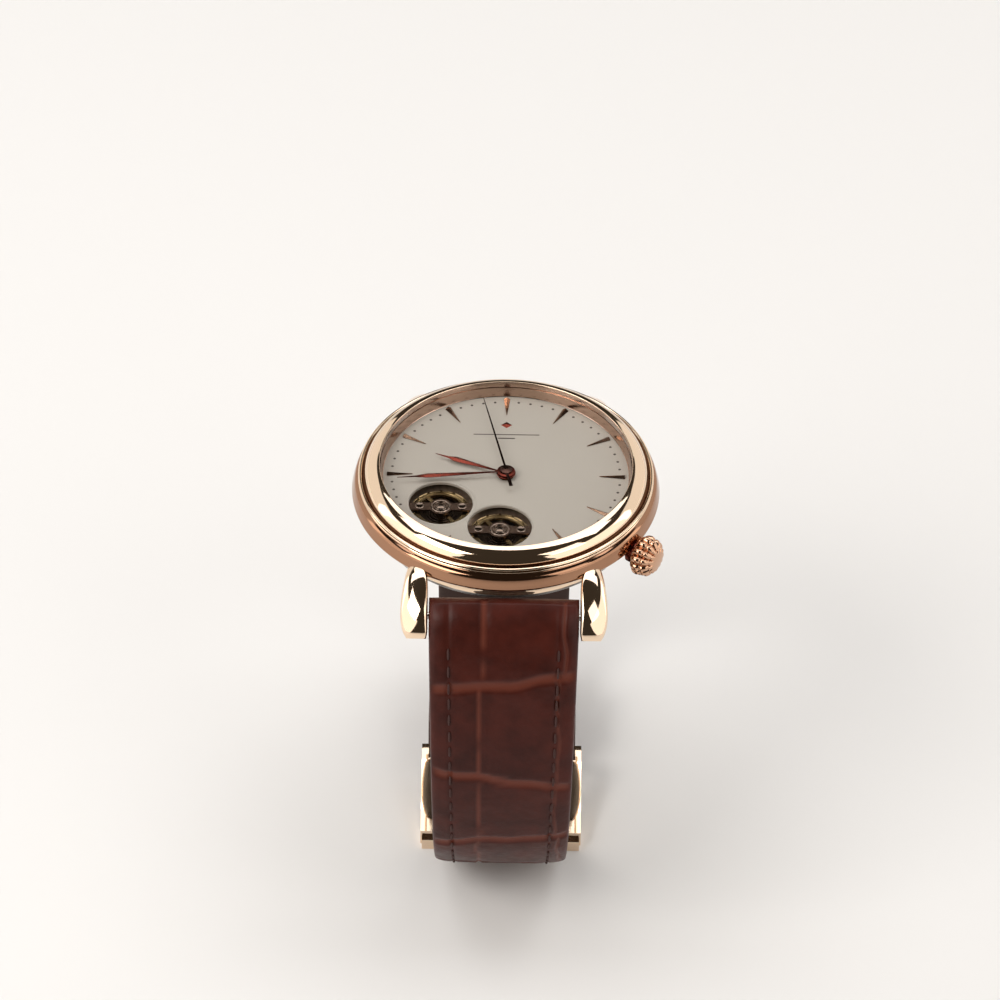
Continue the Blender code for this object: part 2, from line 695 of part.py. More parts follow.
def rounded_section(width, thickness):
    """A flat oblong with bevelled edges, as (across, out) points."""
    half, bevel = width / 2, min(thickness * 0.35, 0.8)
    up = thickness / 2
    quarter = [(half - bevel, up), (half, up - bevel)]
    section = quarter + [(x, -z) for x, z in reversed(quarter)]
    return section + [(-x, z) for x, z in reversed(section)]


def smooth_path(points, steps_each):
    """Points along a Catmull-Rom curve through (y, z) points."""
    knots = [Vector(point) for point in points]
    knots = [2 * knots[0] - knots[1], *knots, 2 * knots[-1] - knots[-2]]
    path = []
    for before, start, end, after in zip(knots, knots[1:], knots[2:], knots[3:]):
        for step in range(steps_each):
            t = step / steps_each
            path.append(0.5 * (2 * start + (end - before) * t
                               + (2 * before - 5 * start + 4 * end - after) * t * t
                               + (3 * start - before - 3 * end + after) * t ** 3))
    path.append(knots[-2])
    return path


def strap(points, steps_each, width_at, thickness_at):
    """A strap swept along its middle line; sizes are given by the share of its length."""
    path = smooth_path(points, steps_each)
    lengths = [0.0]
    for start, end in zip(path, path[1:]):
        lengths.append(lengths[-1] + (end - start).length)
    sections = []
    for index, point in enumerate(path):
        run = (path[min(index + 1, len(path) - 1)] - path[max(index - 1, 0)]).normalized()
        share = lengths[index] / lengths[-1]
        section = rounded_section(width_at(share), thickness_at(share))
        sections.append([(x, point.x - run.y * out, point.y + run.x * out) for x, out in section])
    return lofted(sections)


LUG_END_THICKNESS = 3.6
FRONT_STRAP_LINE = (
    (-19.3, 51.7), (-21.9, 50.1), (-23.6, 46.9), (-25.6, 41.0), (-27.2, 33.0), (-27.3, 24.0), (-25.0, 14.5),
    (-19.5, 6.8), (-12.5, 2.9), (-7.0, TAIL_CENTRE), (0.0, TAIL_CENTRE), (10.0, TAIL_CENTRE),
    (19.0, TAIL_CENTRE),
)
BACK_STRAP_LINE = (
    (19.3, 51.7), (21.9, 50.1), (23.6, 46.9), (25.7, 41.0), (27.3, 33.0), (27.8, 25.0), (26.9, 17.0),
    (24.2, 9.6), (19.6, 5.3), (14.0, INNER_STRAP_CENTRE), (7.0, INNER_STRAP_CENTRE),
    (0.7, INNER_STRAP_CENTRE),
)


def taper(share, full, narrow, start, end):
    """Full width up to one share of the length, narrowing evenly to the other."""
    return full + (narrow - full) * min(max((share - start) / (end - start), 0), 1)


def from_floor(bm):
    """Strap parts are drawn from the floor; other solids are drawn from the dial."""
    return placed(bm, Matrix.Translation((0, 0, -DIAL_HEIGHT)))


def make_strap():
    bar_bores = []
    for side in (-1, 1):
        bore = across_strap(rod(BAR_RADIUS + GAP, -12, 12), side * BAR_DISTANCE, BAR_LEVEL)
        bar_bores.append(bore)
    front = strap(
        FRONT_STRAP_LINE, 3,
        lambda share: taper(share, STRAP_WIDTH, TAIL_WIDTH, 0.05, 0.6),
        lambda share: taper(share, LUG_END_THICKNESS, TAIL_THICKNESS, 0.1, 0.6),
    )
    tongue_slot = lofted([
        [(x, BUCKLE_Y + y, z) for x, y in ((-0.9, -5.2), (0.9, -5.2), (0.9, -0.6), (-0.9, -0.6))]
        for z in (0.0, 3.6)
    ])
    node("strap_front", cut(from_floor(front), bar_bores[0], from_floor(tongue_slot)), "strap_leather")
    back = strap(
        BACK_STRAP_LINE, 3,
        lambda share: taper(share, STRAP_WIDTH, TAIL_WIDTH, 0.05, 0.85),
        lambda share: taper(share, LUG_END_THICKNESS, TAIL_THICKNESS, 0.1, 0.7),
    )
    bar_bore = across_strap(rod(BUCKLE_BAR_RADIUS + GAP, -12, 12), BUCKLE_Y, BUCKLE_BAR_Z - DIAL_HEIGHT)
    tongue_notch = lofted([
        [(x, BUCKLE_Y + y, z) for x, y in ((-1.1, -3), (1.1, -3), (1.1, 1.6), (-1.1, 1.6))]
        for z in (2.5, 6.5)
    ])
    solid = cut(from_floor(back), bar_bores[1], bar_bore, from_floor(tongue_notch))
    node("strap_back", solid, "strap_leather")
    for name, side in (("front", -1), ("back", 1)):
        reach = LUG_GAP / 2 + LUG_HOLE_DEPTH - GAP
        pin = [(0, -reach), (0.45, -reach), (0.45, -9.4), (BAR_RADIUS, -9.4), (BAR_RADIUS, 9.4), (0.45, 9.4),
               (0.45, reach), (0, reach)]
        bar = across_strap(turned(pin, PIVOT_STEPS), side * BAR_DISTANCE, BAR_LEVEL)
        node(f"spring_bar_{name}", bar, "steel")


KEEPER_WALL = 0.9
KEEPER_ROOM = 0.8
KEEPER_LENGTH = 4.5
KEEPER_PLACES = {"fixed_keeper": 8.3, "free_keeper": 14.2}


def frame_solid(inner_x, outer_x, low, high, floor, ceiling, start, end):
    """A rectangular loop around the strap, in the XZ plane, running from start to end along Y."""
    ring = []
    for y in (start, end):
        outer = [(-outer_x, floor), (outer_x, floor), (outer_x, ceiling), (-outer_x, ceiling)]
        inner = [(-inner_x, low), (inner_x, low), (inner_x, high), (-inner_x, high)]
        ring.append(([(x, y, z) for x, z in outer], [(x, y, z) for x, z in inner]))
    bm = bmesh.new()
    rings = [[[bm.verts.new(point) for point in loop] for loop in pair] for pair in ring]
    for index in range(4):
        after = (index + 1) % 4
        (near_out, near_in), (far_out, far_in) = rings
        bm.faces.new((near_out[index], near_out[after], far_out[after], far_out[index]))
        bm.faces.new((near_in[index], near_in[after], far_in[after], far_in[index]))
        bm.faces.new((near_out[index], near_out[after], near_in[after], near_in[index]))
        bm.faces.new((far_out[index], far_out[after], far_in[after], far_in[index]))
    bmesh.ops.recalc_face_normals(bm, faces=bm.faces)
    return bm


def make_keepers():
    low = TAIL_CENTRE - TAIL_THICKNESS / 2 - GAP
    high = INNER_STRAP_CENTRE + TAIL_THICKNESS / 2 + KEEPER_ROOM
    inner = TAIL_WIDTH / 2 + 0.5
    for name, middle in KEEPER_PLACES.items():
        loop = frame_solid(inner, inner + KEEPER_WALL, low, high, 0.0, high + KEEPER_WALL,
                           middle - KEEPER_LENGTH / 2, middle + KEEPER_LENGTH / 2)
        node(name, from_floor(loop), "strap_leather", (0, middle), TAIL_CENTRE - DIAL_HEIGHT)


BUCKLE_INNER, BUCKLE_OUTER = 9.1, 10.7
BUCKLE_LENGTH = 12.0
BUCKLE_BAR_RADIUS = 0.75
TONGUE_LINE = ((-0.95, -0.35), (-1.9, -1.2), (-2.9, -3.0), (-4.2, -4.23), (-12.6, -4.23))
TONGUE_HALF_THICKNESS = 0.28
TONGUE_HALF_WIDTH = 0.6
NOTCH_HALF_WIDTH = 0.8


def make_buckle():
    """A pin buckle: a bent frame that pivots with its tongue on a bar at the back strap's end."""
    sides = []
    stations = ((1.2, 4.55, 1.2), (-2.0, 4.2, 1.1), (-6.0, 2.4, 1.1), (-10.0, 1.2, 1.1), (-12.2, 1.1, 1.1))
    for side in (-1, 1):
        inner, outer = side * BUCKLE_INNER, side * BUCKLE_OUTER
        sections = []
        for y, z, half in stations:
            sections.append([(inner, BUCKLE_Y + y, z - half), (outer, BUCKLE_Y + y, z - half),
                             (outer, BUCKLE_Y + y, z + half), (inner, BUCKLE_Y + y, z + half)])
        sides.append(lofted(sections))
    end = BUCKLE_Y - BUCKLE_LENGTH
    crossbar = lofted([
        [(x, end - 1.3, 0.0), (x, end + 1.2, 0.0), (x, end + 1.2, 1.15), (x, end - 1.0, 1.3)]
        for x in (-BUCKLE_OUTER + 0.2, BUCKLE_OUTER - 0.2)
    ])
    notch = lofted([
        [(x, end - 2, -0.5), (x, end + 2, -0.5), (x, end + 2, 0.68), (x, end - 2, 0.68)]
        for x in (-NOTCH_HALF_WIDTH, NOTCH_HALF_WIDTH)
    ])
    bore = across_strap(rod(BUCKLE_BAR_RADIUS + GAP, -12, 12), BUCKLE_Y, BUCKLE_BAR_Z - DIAL_HEIGHT)
    frame = cut(joined(from_floor(crossbar), *[from_floor(side) for side in sides]), from_floor(notch), bore)
    node("buckle_frame", frame, "rose_gold", (0, BUCKLE_Y), BUCKLE_BAR_Z - DIAL_HEIGHT)
    bar = across_strap(rod(BUCKLE_BAR_RADIUS, -10.6, 10.6), BUCKLE_Y, BUCKLE_BAR_Z - DIAL_HEIGHT)
    node("buckle_bar", bar, "steel")

    sections = []
    for index, (y, z) in enumerate(TONGUE_LINE):
        before = Vector(TONGUE_LINE[max(index - 1, 0)])
        after = Vector(TONGUE_LINE[min(index + 1, len(TONGUE_LINE) - 1)])
        run = (after - before).normalized() * TONGUE_HALF_THICKNESS
        sections.append([(x, BUCKLE_Y + y + side * run.y, BUCKLE_BAR_Z + z - side * run.x)
                         for x, side in ((-TONGUE_HALF_WIDTH, 1), (TONGUE_HALF_WIDTH, 1),
                                         (TONGUE_HALF_WIDTH, -1), (-TONGUE_HALF_WIDTH, -1))])
    eye = across_strap(tube(0.85, 1.25, -0.8, 0.8, steps=PIVOT_STEPS), BUCKLE_Y, BUCKLE_BAR_Z - DIAL_HEIGHT)
    tongue = joined(eye, from_floor(lofted(sections)))
    node("buckle_tongue", tongue, "rose_gold", (0, BUCKLE_Y), BUCKLE_BAR_Z - DIAL_HEIGHT)


def clear_scene():
    for obj in list(bpy.data.objects):
        bpy.data.objects.remove(obj)


def main():
    make_case()
    make_dial()
    make_hands()
    make_train()
    make_motion_works()
    for name, place in BALANCE_PLACES.items():
        make_balance(name, place)
    make_plates()
    make_crown()
    make_strap()
    make_keepers()
    make_buckle()


clear_scene()
MATERIALS = {name: material(name, *finish) for name, finish in FINISHES.items()}
main()
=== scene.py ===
"""The looks of the wristwatch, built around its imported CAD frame.

Shapes are drawn in millimetres, in the frame's own axes, and scaled once in piece(). A LEVEL is a
height above the dial's upper face. 12 o'clock is +Y and 3 o'clock is +X.
"""

import math
import random

import bmesh
import bpy
from mathutils import Matrix, Vector, noise


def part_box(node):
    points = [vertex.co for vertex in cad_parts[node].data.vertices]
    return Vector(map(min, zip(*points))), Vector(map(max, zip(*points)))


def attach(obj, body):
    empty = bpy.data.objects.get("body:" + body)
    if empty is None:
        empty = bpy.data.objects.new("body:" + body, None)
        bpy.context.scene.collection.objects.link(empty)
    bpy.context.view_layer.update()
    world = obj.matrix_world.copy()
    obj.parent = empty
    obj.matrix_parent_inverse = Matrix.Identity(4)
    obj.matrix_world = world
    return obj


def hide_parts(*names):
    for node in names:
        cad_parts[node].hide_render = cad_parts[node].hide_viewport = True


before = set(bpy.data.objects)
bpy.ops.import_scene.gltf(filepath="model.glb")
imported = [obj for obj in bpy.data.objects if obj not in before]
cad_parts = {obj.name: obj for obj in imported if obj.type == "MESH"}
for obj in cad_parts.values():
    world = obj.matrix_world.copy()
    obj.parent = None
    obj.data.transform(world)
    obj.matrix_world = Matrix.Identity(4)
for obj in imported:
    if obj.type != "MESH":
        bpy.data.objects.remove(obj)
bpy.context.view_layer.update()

MM = 0.001
FULL_TURN = 2 * math.pi
DIAL_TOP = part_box("dial")[1][2] / MM
CASE_RADIUS = 20.0
OPENING_RADIUS = 16.4
FLANGE_RADIUS = 19.2
LUG_INNER, LUG_OUTER = 9.8, 13.3
DIAL_RADIUS = 16.6
BALANCE_PLACES = {
    "lower": (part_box("jewel_lower")[0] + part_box("jewel_lower")[1]) / 2,
    "left": (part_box("jewel_left")[0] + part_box("jewel_left")[1]) / 2,
}
CROWN_ANGLE = math.radians(-32)
CROWN_LEVEL = -3.6

# Steps round a circle: the case, the dial with the crystal and back, and the rings in the openings
CASE_STEPS, DIAL_STEPS, RING_STEPS = 256, 192, 96
# Points that curve_through puts between two of its knots
CURVE_STEPS = 6


def polar(distance, angle):
    return distance * math.cos(angle), distance * math.sin(angle)


def clock_angle(clock_degrees):
    return math.radians(90 - clock_degrees)


def smooth(low, high, value):
    """0 at low, 1 at high, with an even start and end."""
    share = min(max((value - low) / (high - low), 0), 1)
    return share * share * (3 - 2 * share)


# Materials


class Nodes:
    """A material whose nodes are added and linked in one line each."""

    def __init__(self, name):
        self.material = bpy.data.materials.new(name)
        self.material.use_nodes = True
        self.tree = self.material.node_tree
        self.shader = self.tree.nodes["Principled BSDF"]

    def add(self, kind, inputs=(), **settings):
        made = self.tree.nodes.new(kind)
        for key, value in settings.items():
            setattr(made, key, value)
        for key, value in dict(inputs).items():
            if isinstance(value, bpy.types.NodeSocket):
                self.tree.links.new(value, made.inputs[key])
            else:
                made.inputs[key].default_value = value
        return made

    def position(self):
        return self.add("ShaderNodeTexCoord").outputs["Object"]

    def noise(self, scale, detail=3.0, vector=None):
        made = self.add("ShaderNodeTexNoise", {"Scale": scale, "Detail": detail})
        self.tree.links.new(vector or self.position(), made.inputs["Vector"])
        return made.outputs["Fac"]

    def ramp(self, value, low, high):
        """Maps a value to a colour between two colours."""
        made = self.add("ShaderNodeMix", {"Factor": value}, data_type="RGBA")
        made.inputs[6].default_value = (*low, 1)
        made.inputs[7].default_value = (*high, 1)
        return made.outputs[2]

    def range(self, value, low, high, start=0.0, end=1.0):
        inputs = {"Value": value, "From Min": start, "From Max": end, "To Min": low, "To Max": high}
        return self.add("ShaderNodeMapRange", inputs).outputs["Result"]

    def bump(self, height, strength, distance, normal=None):
        inputs = {"Height": height, "Strength": strength, "Distance": distance}
        if normal is not None:
            inputs["Normal"] = normal
        return self.add("ShaderNodeBump", inputs).outputs["Normal"]

    def use(self, **sockets):
        for key, value in sockets.items():
            socket = self.shader.inputs[key.replace("_", " ")]
            if isinstance(value, bpy.types.NodeSocket):
                self.tree.links.new(value, socket)
            else:
                socket.default_value = value
        return self.material


def polished_metal(name, low, high, roughness, scratch=0.05):
    """Metal with faint colour drift, fine polishing marks and worn spots in its gloss."""
    nodes = Nodes(name)
    drift = nodes.noise(90.0)
    marks = nodes.noise(2600.0, 4.0)
    gloss = nodes.range(nodes.noise(420.0, 5.0), roughness * 0.75, roughness * 1.35, 0.3, 0.7)
    return nodes.use(
        Base_Color=nodes.ramp(drift, low, high),
        Metallic=1.0,
        Roughness=gloss,
        Normal=nodes.bump(marks, scratch, 0.00002),
    )


GRAIN_SQUEEZE = (1, 40, 1)


def brushed_metal(name, low, high, roughness):
    """Satin metal, with its grain drawn out across the Y axis."""
    nodes = Nodes(name)
    grain_space = nodes.add("ShaderNodeMapping", {"Vector": nodes.position(), "Scale": GRAIN_SQUEEZE})
    grain = nodes.noise(900.0, 4.0, grain_space.outputs["Vector"])
    return nodes.use(
        Base_Color=nodes.ramp(grain, low, high),
        Metallic=1.0,
        Roughness=nodes.range(grain, roughness * 0.7, roughness * 1.4),
        Normal=nodes.bump(grain, 0.25, 0.00003),
    )


def perlage_metal(name, low, high):
    """Movement plate with overlapping round polished spots."""
    nodes = Nodes(name)
    inputs = {"Scale": 1100.0, "Vector": nodes.position(), "Randomness": 0.25}
    spots = nodes.add("ShaderNodeTexVoronoi", inputs)
    height = spots.outputs["Distance"]
    return nodes.use(
        Base_Color=nodes.ramp(height, high, low),
        Metallic=0.6,
        Roughness=nodes.range(height, 0.25, 0.45),
        Normal=nodes.bump(height, 0.4, 0.0001),
    )


def dial_lacquer():
    """Warm white lacquer with a very fine grain."""
    nodes = Nodes("dial_ivory")
    grain = nodes.noise(5200.0, 2.0)
    cloud = nodes.noise(60.0)
    return nodes.use(
        Base_Color=nodes.ramp(cloud, (0.385, 0.35, 0.305), (0.43, 0.395, 0.345)),
        Roughness=nodes.range(grain, 0.38, 0.5),
        Specular_IOR_Level=0.35,
        Normal=nodes.bump(grain, 0.12, 0.00001),
    )


def clear_crystal():
    """See-through from the front, and more of a mirror the flatter the look at it."""
    nodes = Nodes("crystal_clear")
    nodes.material.surface_render_method = "BLENDED"
    clear = nodes.add("ShaderNodeBsdfTransparent")
    gloss = nodes.add("ShaderNodeBsdfGlossy", {"Color": (1, 1, 1, 1), "Roughness": 0.02})
    facing = nodes.add("ShaderNodeLayerWeight", {"Blend": 0.12})
    share = nodes.range(facing.outputs["Fresnel"], 0.0, 0.4)
    mix = nodes.add("ShaderNodeMixShader", {0: share, 1: clear.outputs[0], 2: gloss.outputs[0]})
    nodes.tree.links.new(mix.outputs[0], nodes.tree.nodes["Material Output"].inputs["Surface"])
    return nodes.material


def scale_leather():
    """Glossy dark brown leather with fine pores and worn high spots; its creases are lighter and redder,
    partly the leather's own tone and partly a painted highlight.
    """
    nodes = Nodes("strap_scale_leather")
    groove = nodes.add("ShaderNodeAttribute", attribute_name="groove").outputs["Fac"]
    mottle = nodes.noise(260.0, 5.0)
    pores = nodes.noise(3800.0, 3.0)
    wrinkle = nodes.noise(900.0, 6.0)
    skin = nodes.ramp(nodes.range(mottle, 0, 1, 0.3, 0.7), (0.034, 0.0066, 0.0042), (0.070, 0.0138, 0.0088))
    crease = nodes.add("ShaderNodeMix", {"Factor": groove}, data_type="RGBA")
    nodes.tree.links.new(skin, crease.inputs[6])
    # Crease colour: partly the leather's lighter tone in its folds, partly a painted highlight along the
    # creases
    crease.inputs[7].default_value = (0.13, 0.034, 0.021, 1)
    fine = nodes.bump(pores, 0.12, 0.00005)
    return nodes.use(
        Base_Color=crease.outputs[2],
        Roughness=nodes.range(wrinkle, 0.25, 0.45),
        Specular_IOR_Level=0.16,
        Normal=nodes.bump(wrinkle, 0.22, 0.00025, fine),
    )


def plain_leather(name, low, high, roughness):
    nodes = Nodes(name)
    pores = nodes.add("ShaderNodeTexVoronoi", {"Scale": 2600.0, "Vector": nodes.position()})
    height = pores.outputs["Distance"]
    mottle = nodes.noise(300.0, 5.0)
    return nodes.use(
        Base_Color=nodes.ramp(mottle, low, high),
        Roughness=nodes.range(mottle, roughness * 0.85, roughness * 1.15),
        Normal=nodes.bump(height, 0.3, 0.0001),
    )


def simple(name, colour, roughness):
    """Paint, thread, rubber, ruby or painted shadow: one colour with slight mottling."""
    nodes = Nodes(name)
    mottle = nodes.noise(1500.0, 4.0)
    low = tuple(0.75 * channel for channel in colour)
    return nodes.use(
        Base_Color=nodes.ramp(mottle, low, colour),
        Roughness=nodes.range(mottle, roughness * 0.8, roughness * 1.2),
        Normal=nodes.bump(mottle, 0.1, 0.00002),
    )


ROSE_GOLD = polished_metal("case_rose_gold", (0.84, 0.64, 0.465), (0.90, 0.71, 0.53), 0.055, 0.02)
REHAUT_GOLD = brushed_metal("rehaut_gold", (0.48, 0.325, 0.245), (0.58, 0.41, 0.32), 0.13)
# Darker, coppery gold for the case wall: a painted dark reflection of the surroundings, not the metal's own
# colour
WALL_REFLECTION_GOLD = polished_metal("case_wall_painted_reflection", (0.32, 0.165, 0.098), (0.42, 0.235, 0.145), 0.08, 0.03)
CROWN_GOLD = polished_metal("crown_gold", (0.52, 0.30, 0.19), (0.64, 0.39, 0.26), 0.12, 0.03)
# Near-black gold for the bezel's groove faces: painted shade for the groove's shadow and dark reflections
GROOVE_SHADE_GOLD = polished_metal("groove_painted_shade_gold", (0.12, 0.05, 0.025), (0.2, 0.09, 0.045), 0.3)
HAND_METAL = polished_metal("hands_dark_rose", (0.11, 0.020, 0.013), (0.17, 0.038, 0.026), 0.24)
NEEDLE_METAL = polished_metal("needle_dark_bronze", (0.045, 0.022, 0.018), (0.08, 0.04, 0.03), 0.22)
MARKER_METAL = polished_metal("markers_bronze", (0.22, 0.135, 0.09), (0.32, 0.20, 0.14), 0.2)
# Case back steel far darker than the other steel: partly the steel's colour, partly painted shade under the
# case
BACK_STEEL_AND_SHADE = brushed_metal("case_back_steel_painted_shade", (0.17, 0.16, 0.155), (0.26, 0.25, 0.24), 0.32)
STEEL = brushed_metal("steel_satin", (0.50, 0.49, 0.49), (0.66, 0.65, 0.64), 0.28)
BRIDGE_METAL = brushed_metal("balance_bridge_bronze", (0.095, 0.060, 0.042), (0.165, 0.108, 0.078), 0.28)
BRIGHT_STEEL = polished_metal("cap_steel", (0.13, 0.095, 0.072), (0.20, 0.15, 0.12), 0.1)
DARK_STEEL = polished_metal("balance_spring_steel", (0.22, 0.17, 0.13), (0.32, 0.25, 0.20), 0.2)
GILT = polished_metal("wheels_gilt", (0.34, 0.24, 0.11), (0.46, 0.33, 0.17), 0.2)
PLATE = perlage_metal("plate_perlage", (0.17, 0.115, 0.08), (0.36, 0.26, 0.185))
IVORY = dial_lacquer()
CRYSTAL = clear_crystal()
SCALES = scale_leather()
# Strap lining darker than its own brown: partly the lining's colour, partly painted shade for the dark gap
# seen under the case
LINING_AND_SHADE = plain_leather("strap_lining_painted_shade", (0.020, 0.009, 0.006), (0.042, 0.018, 0.012), 0.7)
EDGE_PAINT = plain_leather("strap_edge", (0.035, 0.012, 0.009), (0.055, 0.02, 0.015), 0.45)
THREAD = simple("strap_thread", (0.05, 0.014, 0.010), 0.75)
PRINT = simple("dial_print", (0.05, 0.034, 0.026), 0.5)
RUBY = simple("ruby", (0.30, 0.02, 0.045), 0.08)
RUBBER = simple("rubber", (0.03, 0.03, 0.03), 0.7)
SHADOW = simple("hole_shadow", (0.012, 0.006, 0.005), 0.8)


# Mesh tools


def piece(name, bm, material, body="case", replaces=(), sharp=40):
    """A new piece drawn in millimetres, levels from the dial, riding on a body."""
    place = Matrix.Scale(MM, 4) @ Matrix.Translation((0, 0, DIAL_TOP))
    bmesh.ops.transform(bm, matrix=place, verts=bm.verts)
    mesh = bpy.data.meshes.new(name)
    bm.to_mesh(mesh)
    for each in material if isinstance(material, list) else [material]:
        mesh.materials.append(each)
    mesh.shade_smooth()
    mesh.set_sharp_from_angle(angle=math.radians(sharp))
    obj = bpy.data.objects.new(name, mesh)
    bpy.context.scene.collection.objects.link(obj)
    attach(obj, body)
    if replaces:
        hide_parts(*replaces)
    return obj


def turned(profile, steps, centre=(0, 0)):
    """A closed profile of (radius, height) points turned about an upright axis."""
    bm = bmesh.new()
    rings = []
    for radius, height in profile:
        if radius == 0:
            rings.append([bm.verts.new((*centre, height))] * steps)
            continue
        ring = []
        for step in range(steps):
            x, y = polar(radius, FULL_TURN * step / steps)
            ring.append(bm.verts.new((centre[0] + x, centre[1] + y, height)))
        rings.append(ring)
    for ring, following in zip(rings, rings[1:] + rings[:1]):
        for step in range(steps):
            after = (step + 1) % steps
            corners = dict.fromkeys((ring[step], ring[after], following[after], following[step]))
            if len(corners) > 2:
                bm.faces.new(corners)
    bmesh.ops.recalc_face_normals(bm, faces=bm.faces)
    return bm


def curve_through(points, steps_each):
    """Points along a Catmull-Rom curve through 2-D or 3-D points."""
    knots = [Vector(point) for point in points]
    knots = [2 * knots[0] - knots[1], *knots, 2 * knots[-1] - knots[-2]]
    path = []
    for before, start, end, after in zip(knots, knots[1:], knots[2:], knots[3:]):
        for step in range(steps_each):
            t = step / steps_each
            path.append(0.5 * (2 * start + (end - before) * t
                               + (2 * before - 5 * start + 4 * end - after) * t * t
                               + (3 * start - before - 3 * end + after) * t ** 3))
    path.append(knots[-2])
    return path


def lofted(sections):
    """A skin over closed sections of equal point counts, with both ends filled."""
    bm = bmesh.new()
    rings = [[bm.verts.new(point) for point in section] for section in sections]
    for ring, following in zip(rings, rings[1:]):
        for index in range(len(ring)):
            after = (index + 1) % len(ring)
            bm.faces.new((ring[index], ring[after], following[after], following[index]))
    bm.faces.new(rings[0])
    bm.faces.new(rings[-1])
    bmesh.ops.recalc_face_normals(bm, faces=bm.faces)
    return bm


def circle(radius, centre=(0, 0), steps=RING_STEPS):
    points = []
    for step in range(steps):
        x, y = polar(radius, FULL_TURN * step / steps)
        points.append((centre[0] + x, centre[1] + y))
    return points


def extruded(outline, low, high, holes=()):
    """A flat plate between two heights, with its outline and holes as lists of (x, y) points."""
    bm = bmesh.new()
    for loop in (outline, *holes):
        verts = [bm.verts.new((x, y, low)) for x, y in loop]
        for start, end in zip(verts, verts[1:] + verts[:1]):
            bm.edges.new((start, end))
    bmesh.ops.triangle_fill(bm, use_beauty=True, edges=bm.edges[:], normal=(0, 0, 1))
    grown = bmesh.ops.extrude_face_region(bm, geom=bm.faces[:])
    raised = [item for item in grown["geom"] if isinstance(item, bmesh.types.BMVert)]
    bmesh.ops.translate(bm, verts=raised, vec=(0, 0, high - low))
    bmesh.ops.recalc_face_normals(bm, faces=bm.faces)
    return bm


def gathered(solids):
    """Several separate solids as one mesh."""
    whole = bmesh.new()
    for solid in solids:
        mesh = bpy.data.meshes.new("part")
        solid.to_mesh(mesh)
        whole.from_mesh(mesh)
        bpy.data.meshes.remove(mesh)
    return whole


def placed(bm, matrix):
    bmesh.ops.transform(bm, matrix=matrix, verts=bm.verts)
    return bm


def softened(name, node, material, body, width, segments):
    """A copy of a CAD node with its edges rounded."""
    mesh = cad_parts[node].data.copy()
    bm = bmesh.new()
    bm.from_mesh(mesh)
    bmesh.ops.remove_doubles(bm, verts=bm.verts, dist=1e-7)
    bmesh.ops.dissolve_limit(bm, angle_limit=math.radians(2), verts=bm.verts, edges=bm.edges)
    bm.to_mesh(mesh)
    mesh.materials.clear()
    mesh.materials.append(material)
    obj = bpy.data.objects.new(name, mesh)
    bpy.context.scene.collection.objects.link(obj)
    rounding = obj.modifiers.new("Bevel", "BEVEL")
    rounding.width = width * MM
    rounding.segments = segments
    rounding.limit_method = "ANGLE"
    rounding.angle_limit = math.radians(28)
    mesh.shade_smooth()
    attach(obj, body)
    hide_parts(node)
    return obj


# Case


def smoothed(points, steps_each=CURVE_STEPS):
    return [tuple(point) for point in curve_through(points, steps_each)]


# Bounds of the bezel's groove faces that get the painted shade
GROOVE_INNER, GROOVE_OUTER, GROOVE_TOP = 18.28, 18.7, 0.55


def make_bezel():
    """A domed ring with a bright inner lip, a turned groove darkened with painted shade, and a rounded
    flange.
    """
    lip = [(OPENING_RADIUS, 2.08), (OPENING_RADIUS + 0.02, 2.14), (OPENING_RADIUS + 0.06, 2.17)]
    dome = [(16.5, 2.17), (16.9, 2.07), (17.4, 1.83), (17.9, 1.45), (18.25, 1.0), (18.4, 0.66)]
    groove = [(18.34, 0.52), (18.3, 0.28), (18.42, 0.22), (18.62, 0.24)]
    flange = [(18.74, 0.38), (18.9, 0.47), (19.08, 0.43), (FLANGE_RADIUS, 0.3), (19.12, 0.17)]
    foot = [(18.2, 0.14), (18.2, -0.2), (17.2, -0.2), (17.2, 0.9), (OPENING_RADIUS, 1.2)]
    ring = turned([*lip, *smoothed(dome), *groove, *smoothed(flange), *foot], CASE_STEPS)
    for face in ring.faces:
        middle = face.calc_center_median()
        distance = middle.xy.length
        if distance < OPENING_RADIUS + 0.01:
            face.material_index = 1
        elif GROOVE_INNER < distance < GROOVE_OUTER and middle.z < GROOVE_TOP:
            face.material_index = 2
    piece("bezel_polished", ring, [ROSE_GOLD, REHAUT_GOLD, GROOVE_SHADE_GOLD], replaces=["bezel"], sharp=50)


# Heights between which the case wall gets the painted dark reflection
WALL_REFLECTION_LEVELS = -2.45, -0.28


def make_mid_case():
    """The case band: a bright edge under the bezel, a wall with a painted dark reflection and a bright tuck
    below it.
    """
    edge = [(18.9, 0.03), (19.1, 0.0), (FLANGE_RADIUS, -0.1), (19.12, -0.22)]
    groove = [(19.0, -0.28), (19.02, -0.34)]
    wall = [(19.15, -0.42), (19.42, -0.6), (19.62, -0.82), (19.78, -1.3), (19.92, -1.9), (CASE_RADIUS, -2.3),
            (19.85, -2.6)]
    tuck = [(19.5, -2.8), (18.9, -3.15), (18.0, -3.9), (17.45, -4.8), (17.3, -5.55)]
    bore = [(17.2, -5.6), (16.9, -5.6), (16.9, -0.3), (18.3, -0.3), (18.3, 0.04)]
    profile = [*smoothed(edge), *groove, *smoothed(wall), *smoothed(tuck), *bore]
    band = turned(profile, CASE_STEPS)
    low, high = WALL_REFLECTION_LEVELS
    for face in band.faces:
        if low < face.calc_center_median().z < high:
            face.material_index = 1
    piece("mid_case_polished", band, [ROSE_GOLD, WALL_REFLECTION_GOLD], replaces=["mid_case"], sharp=50)


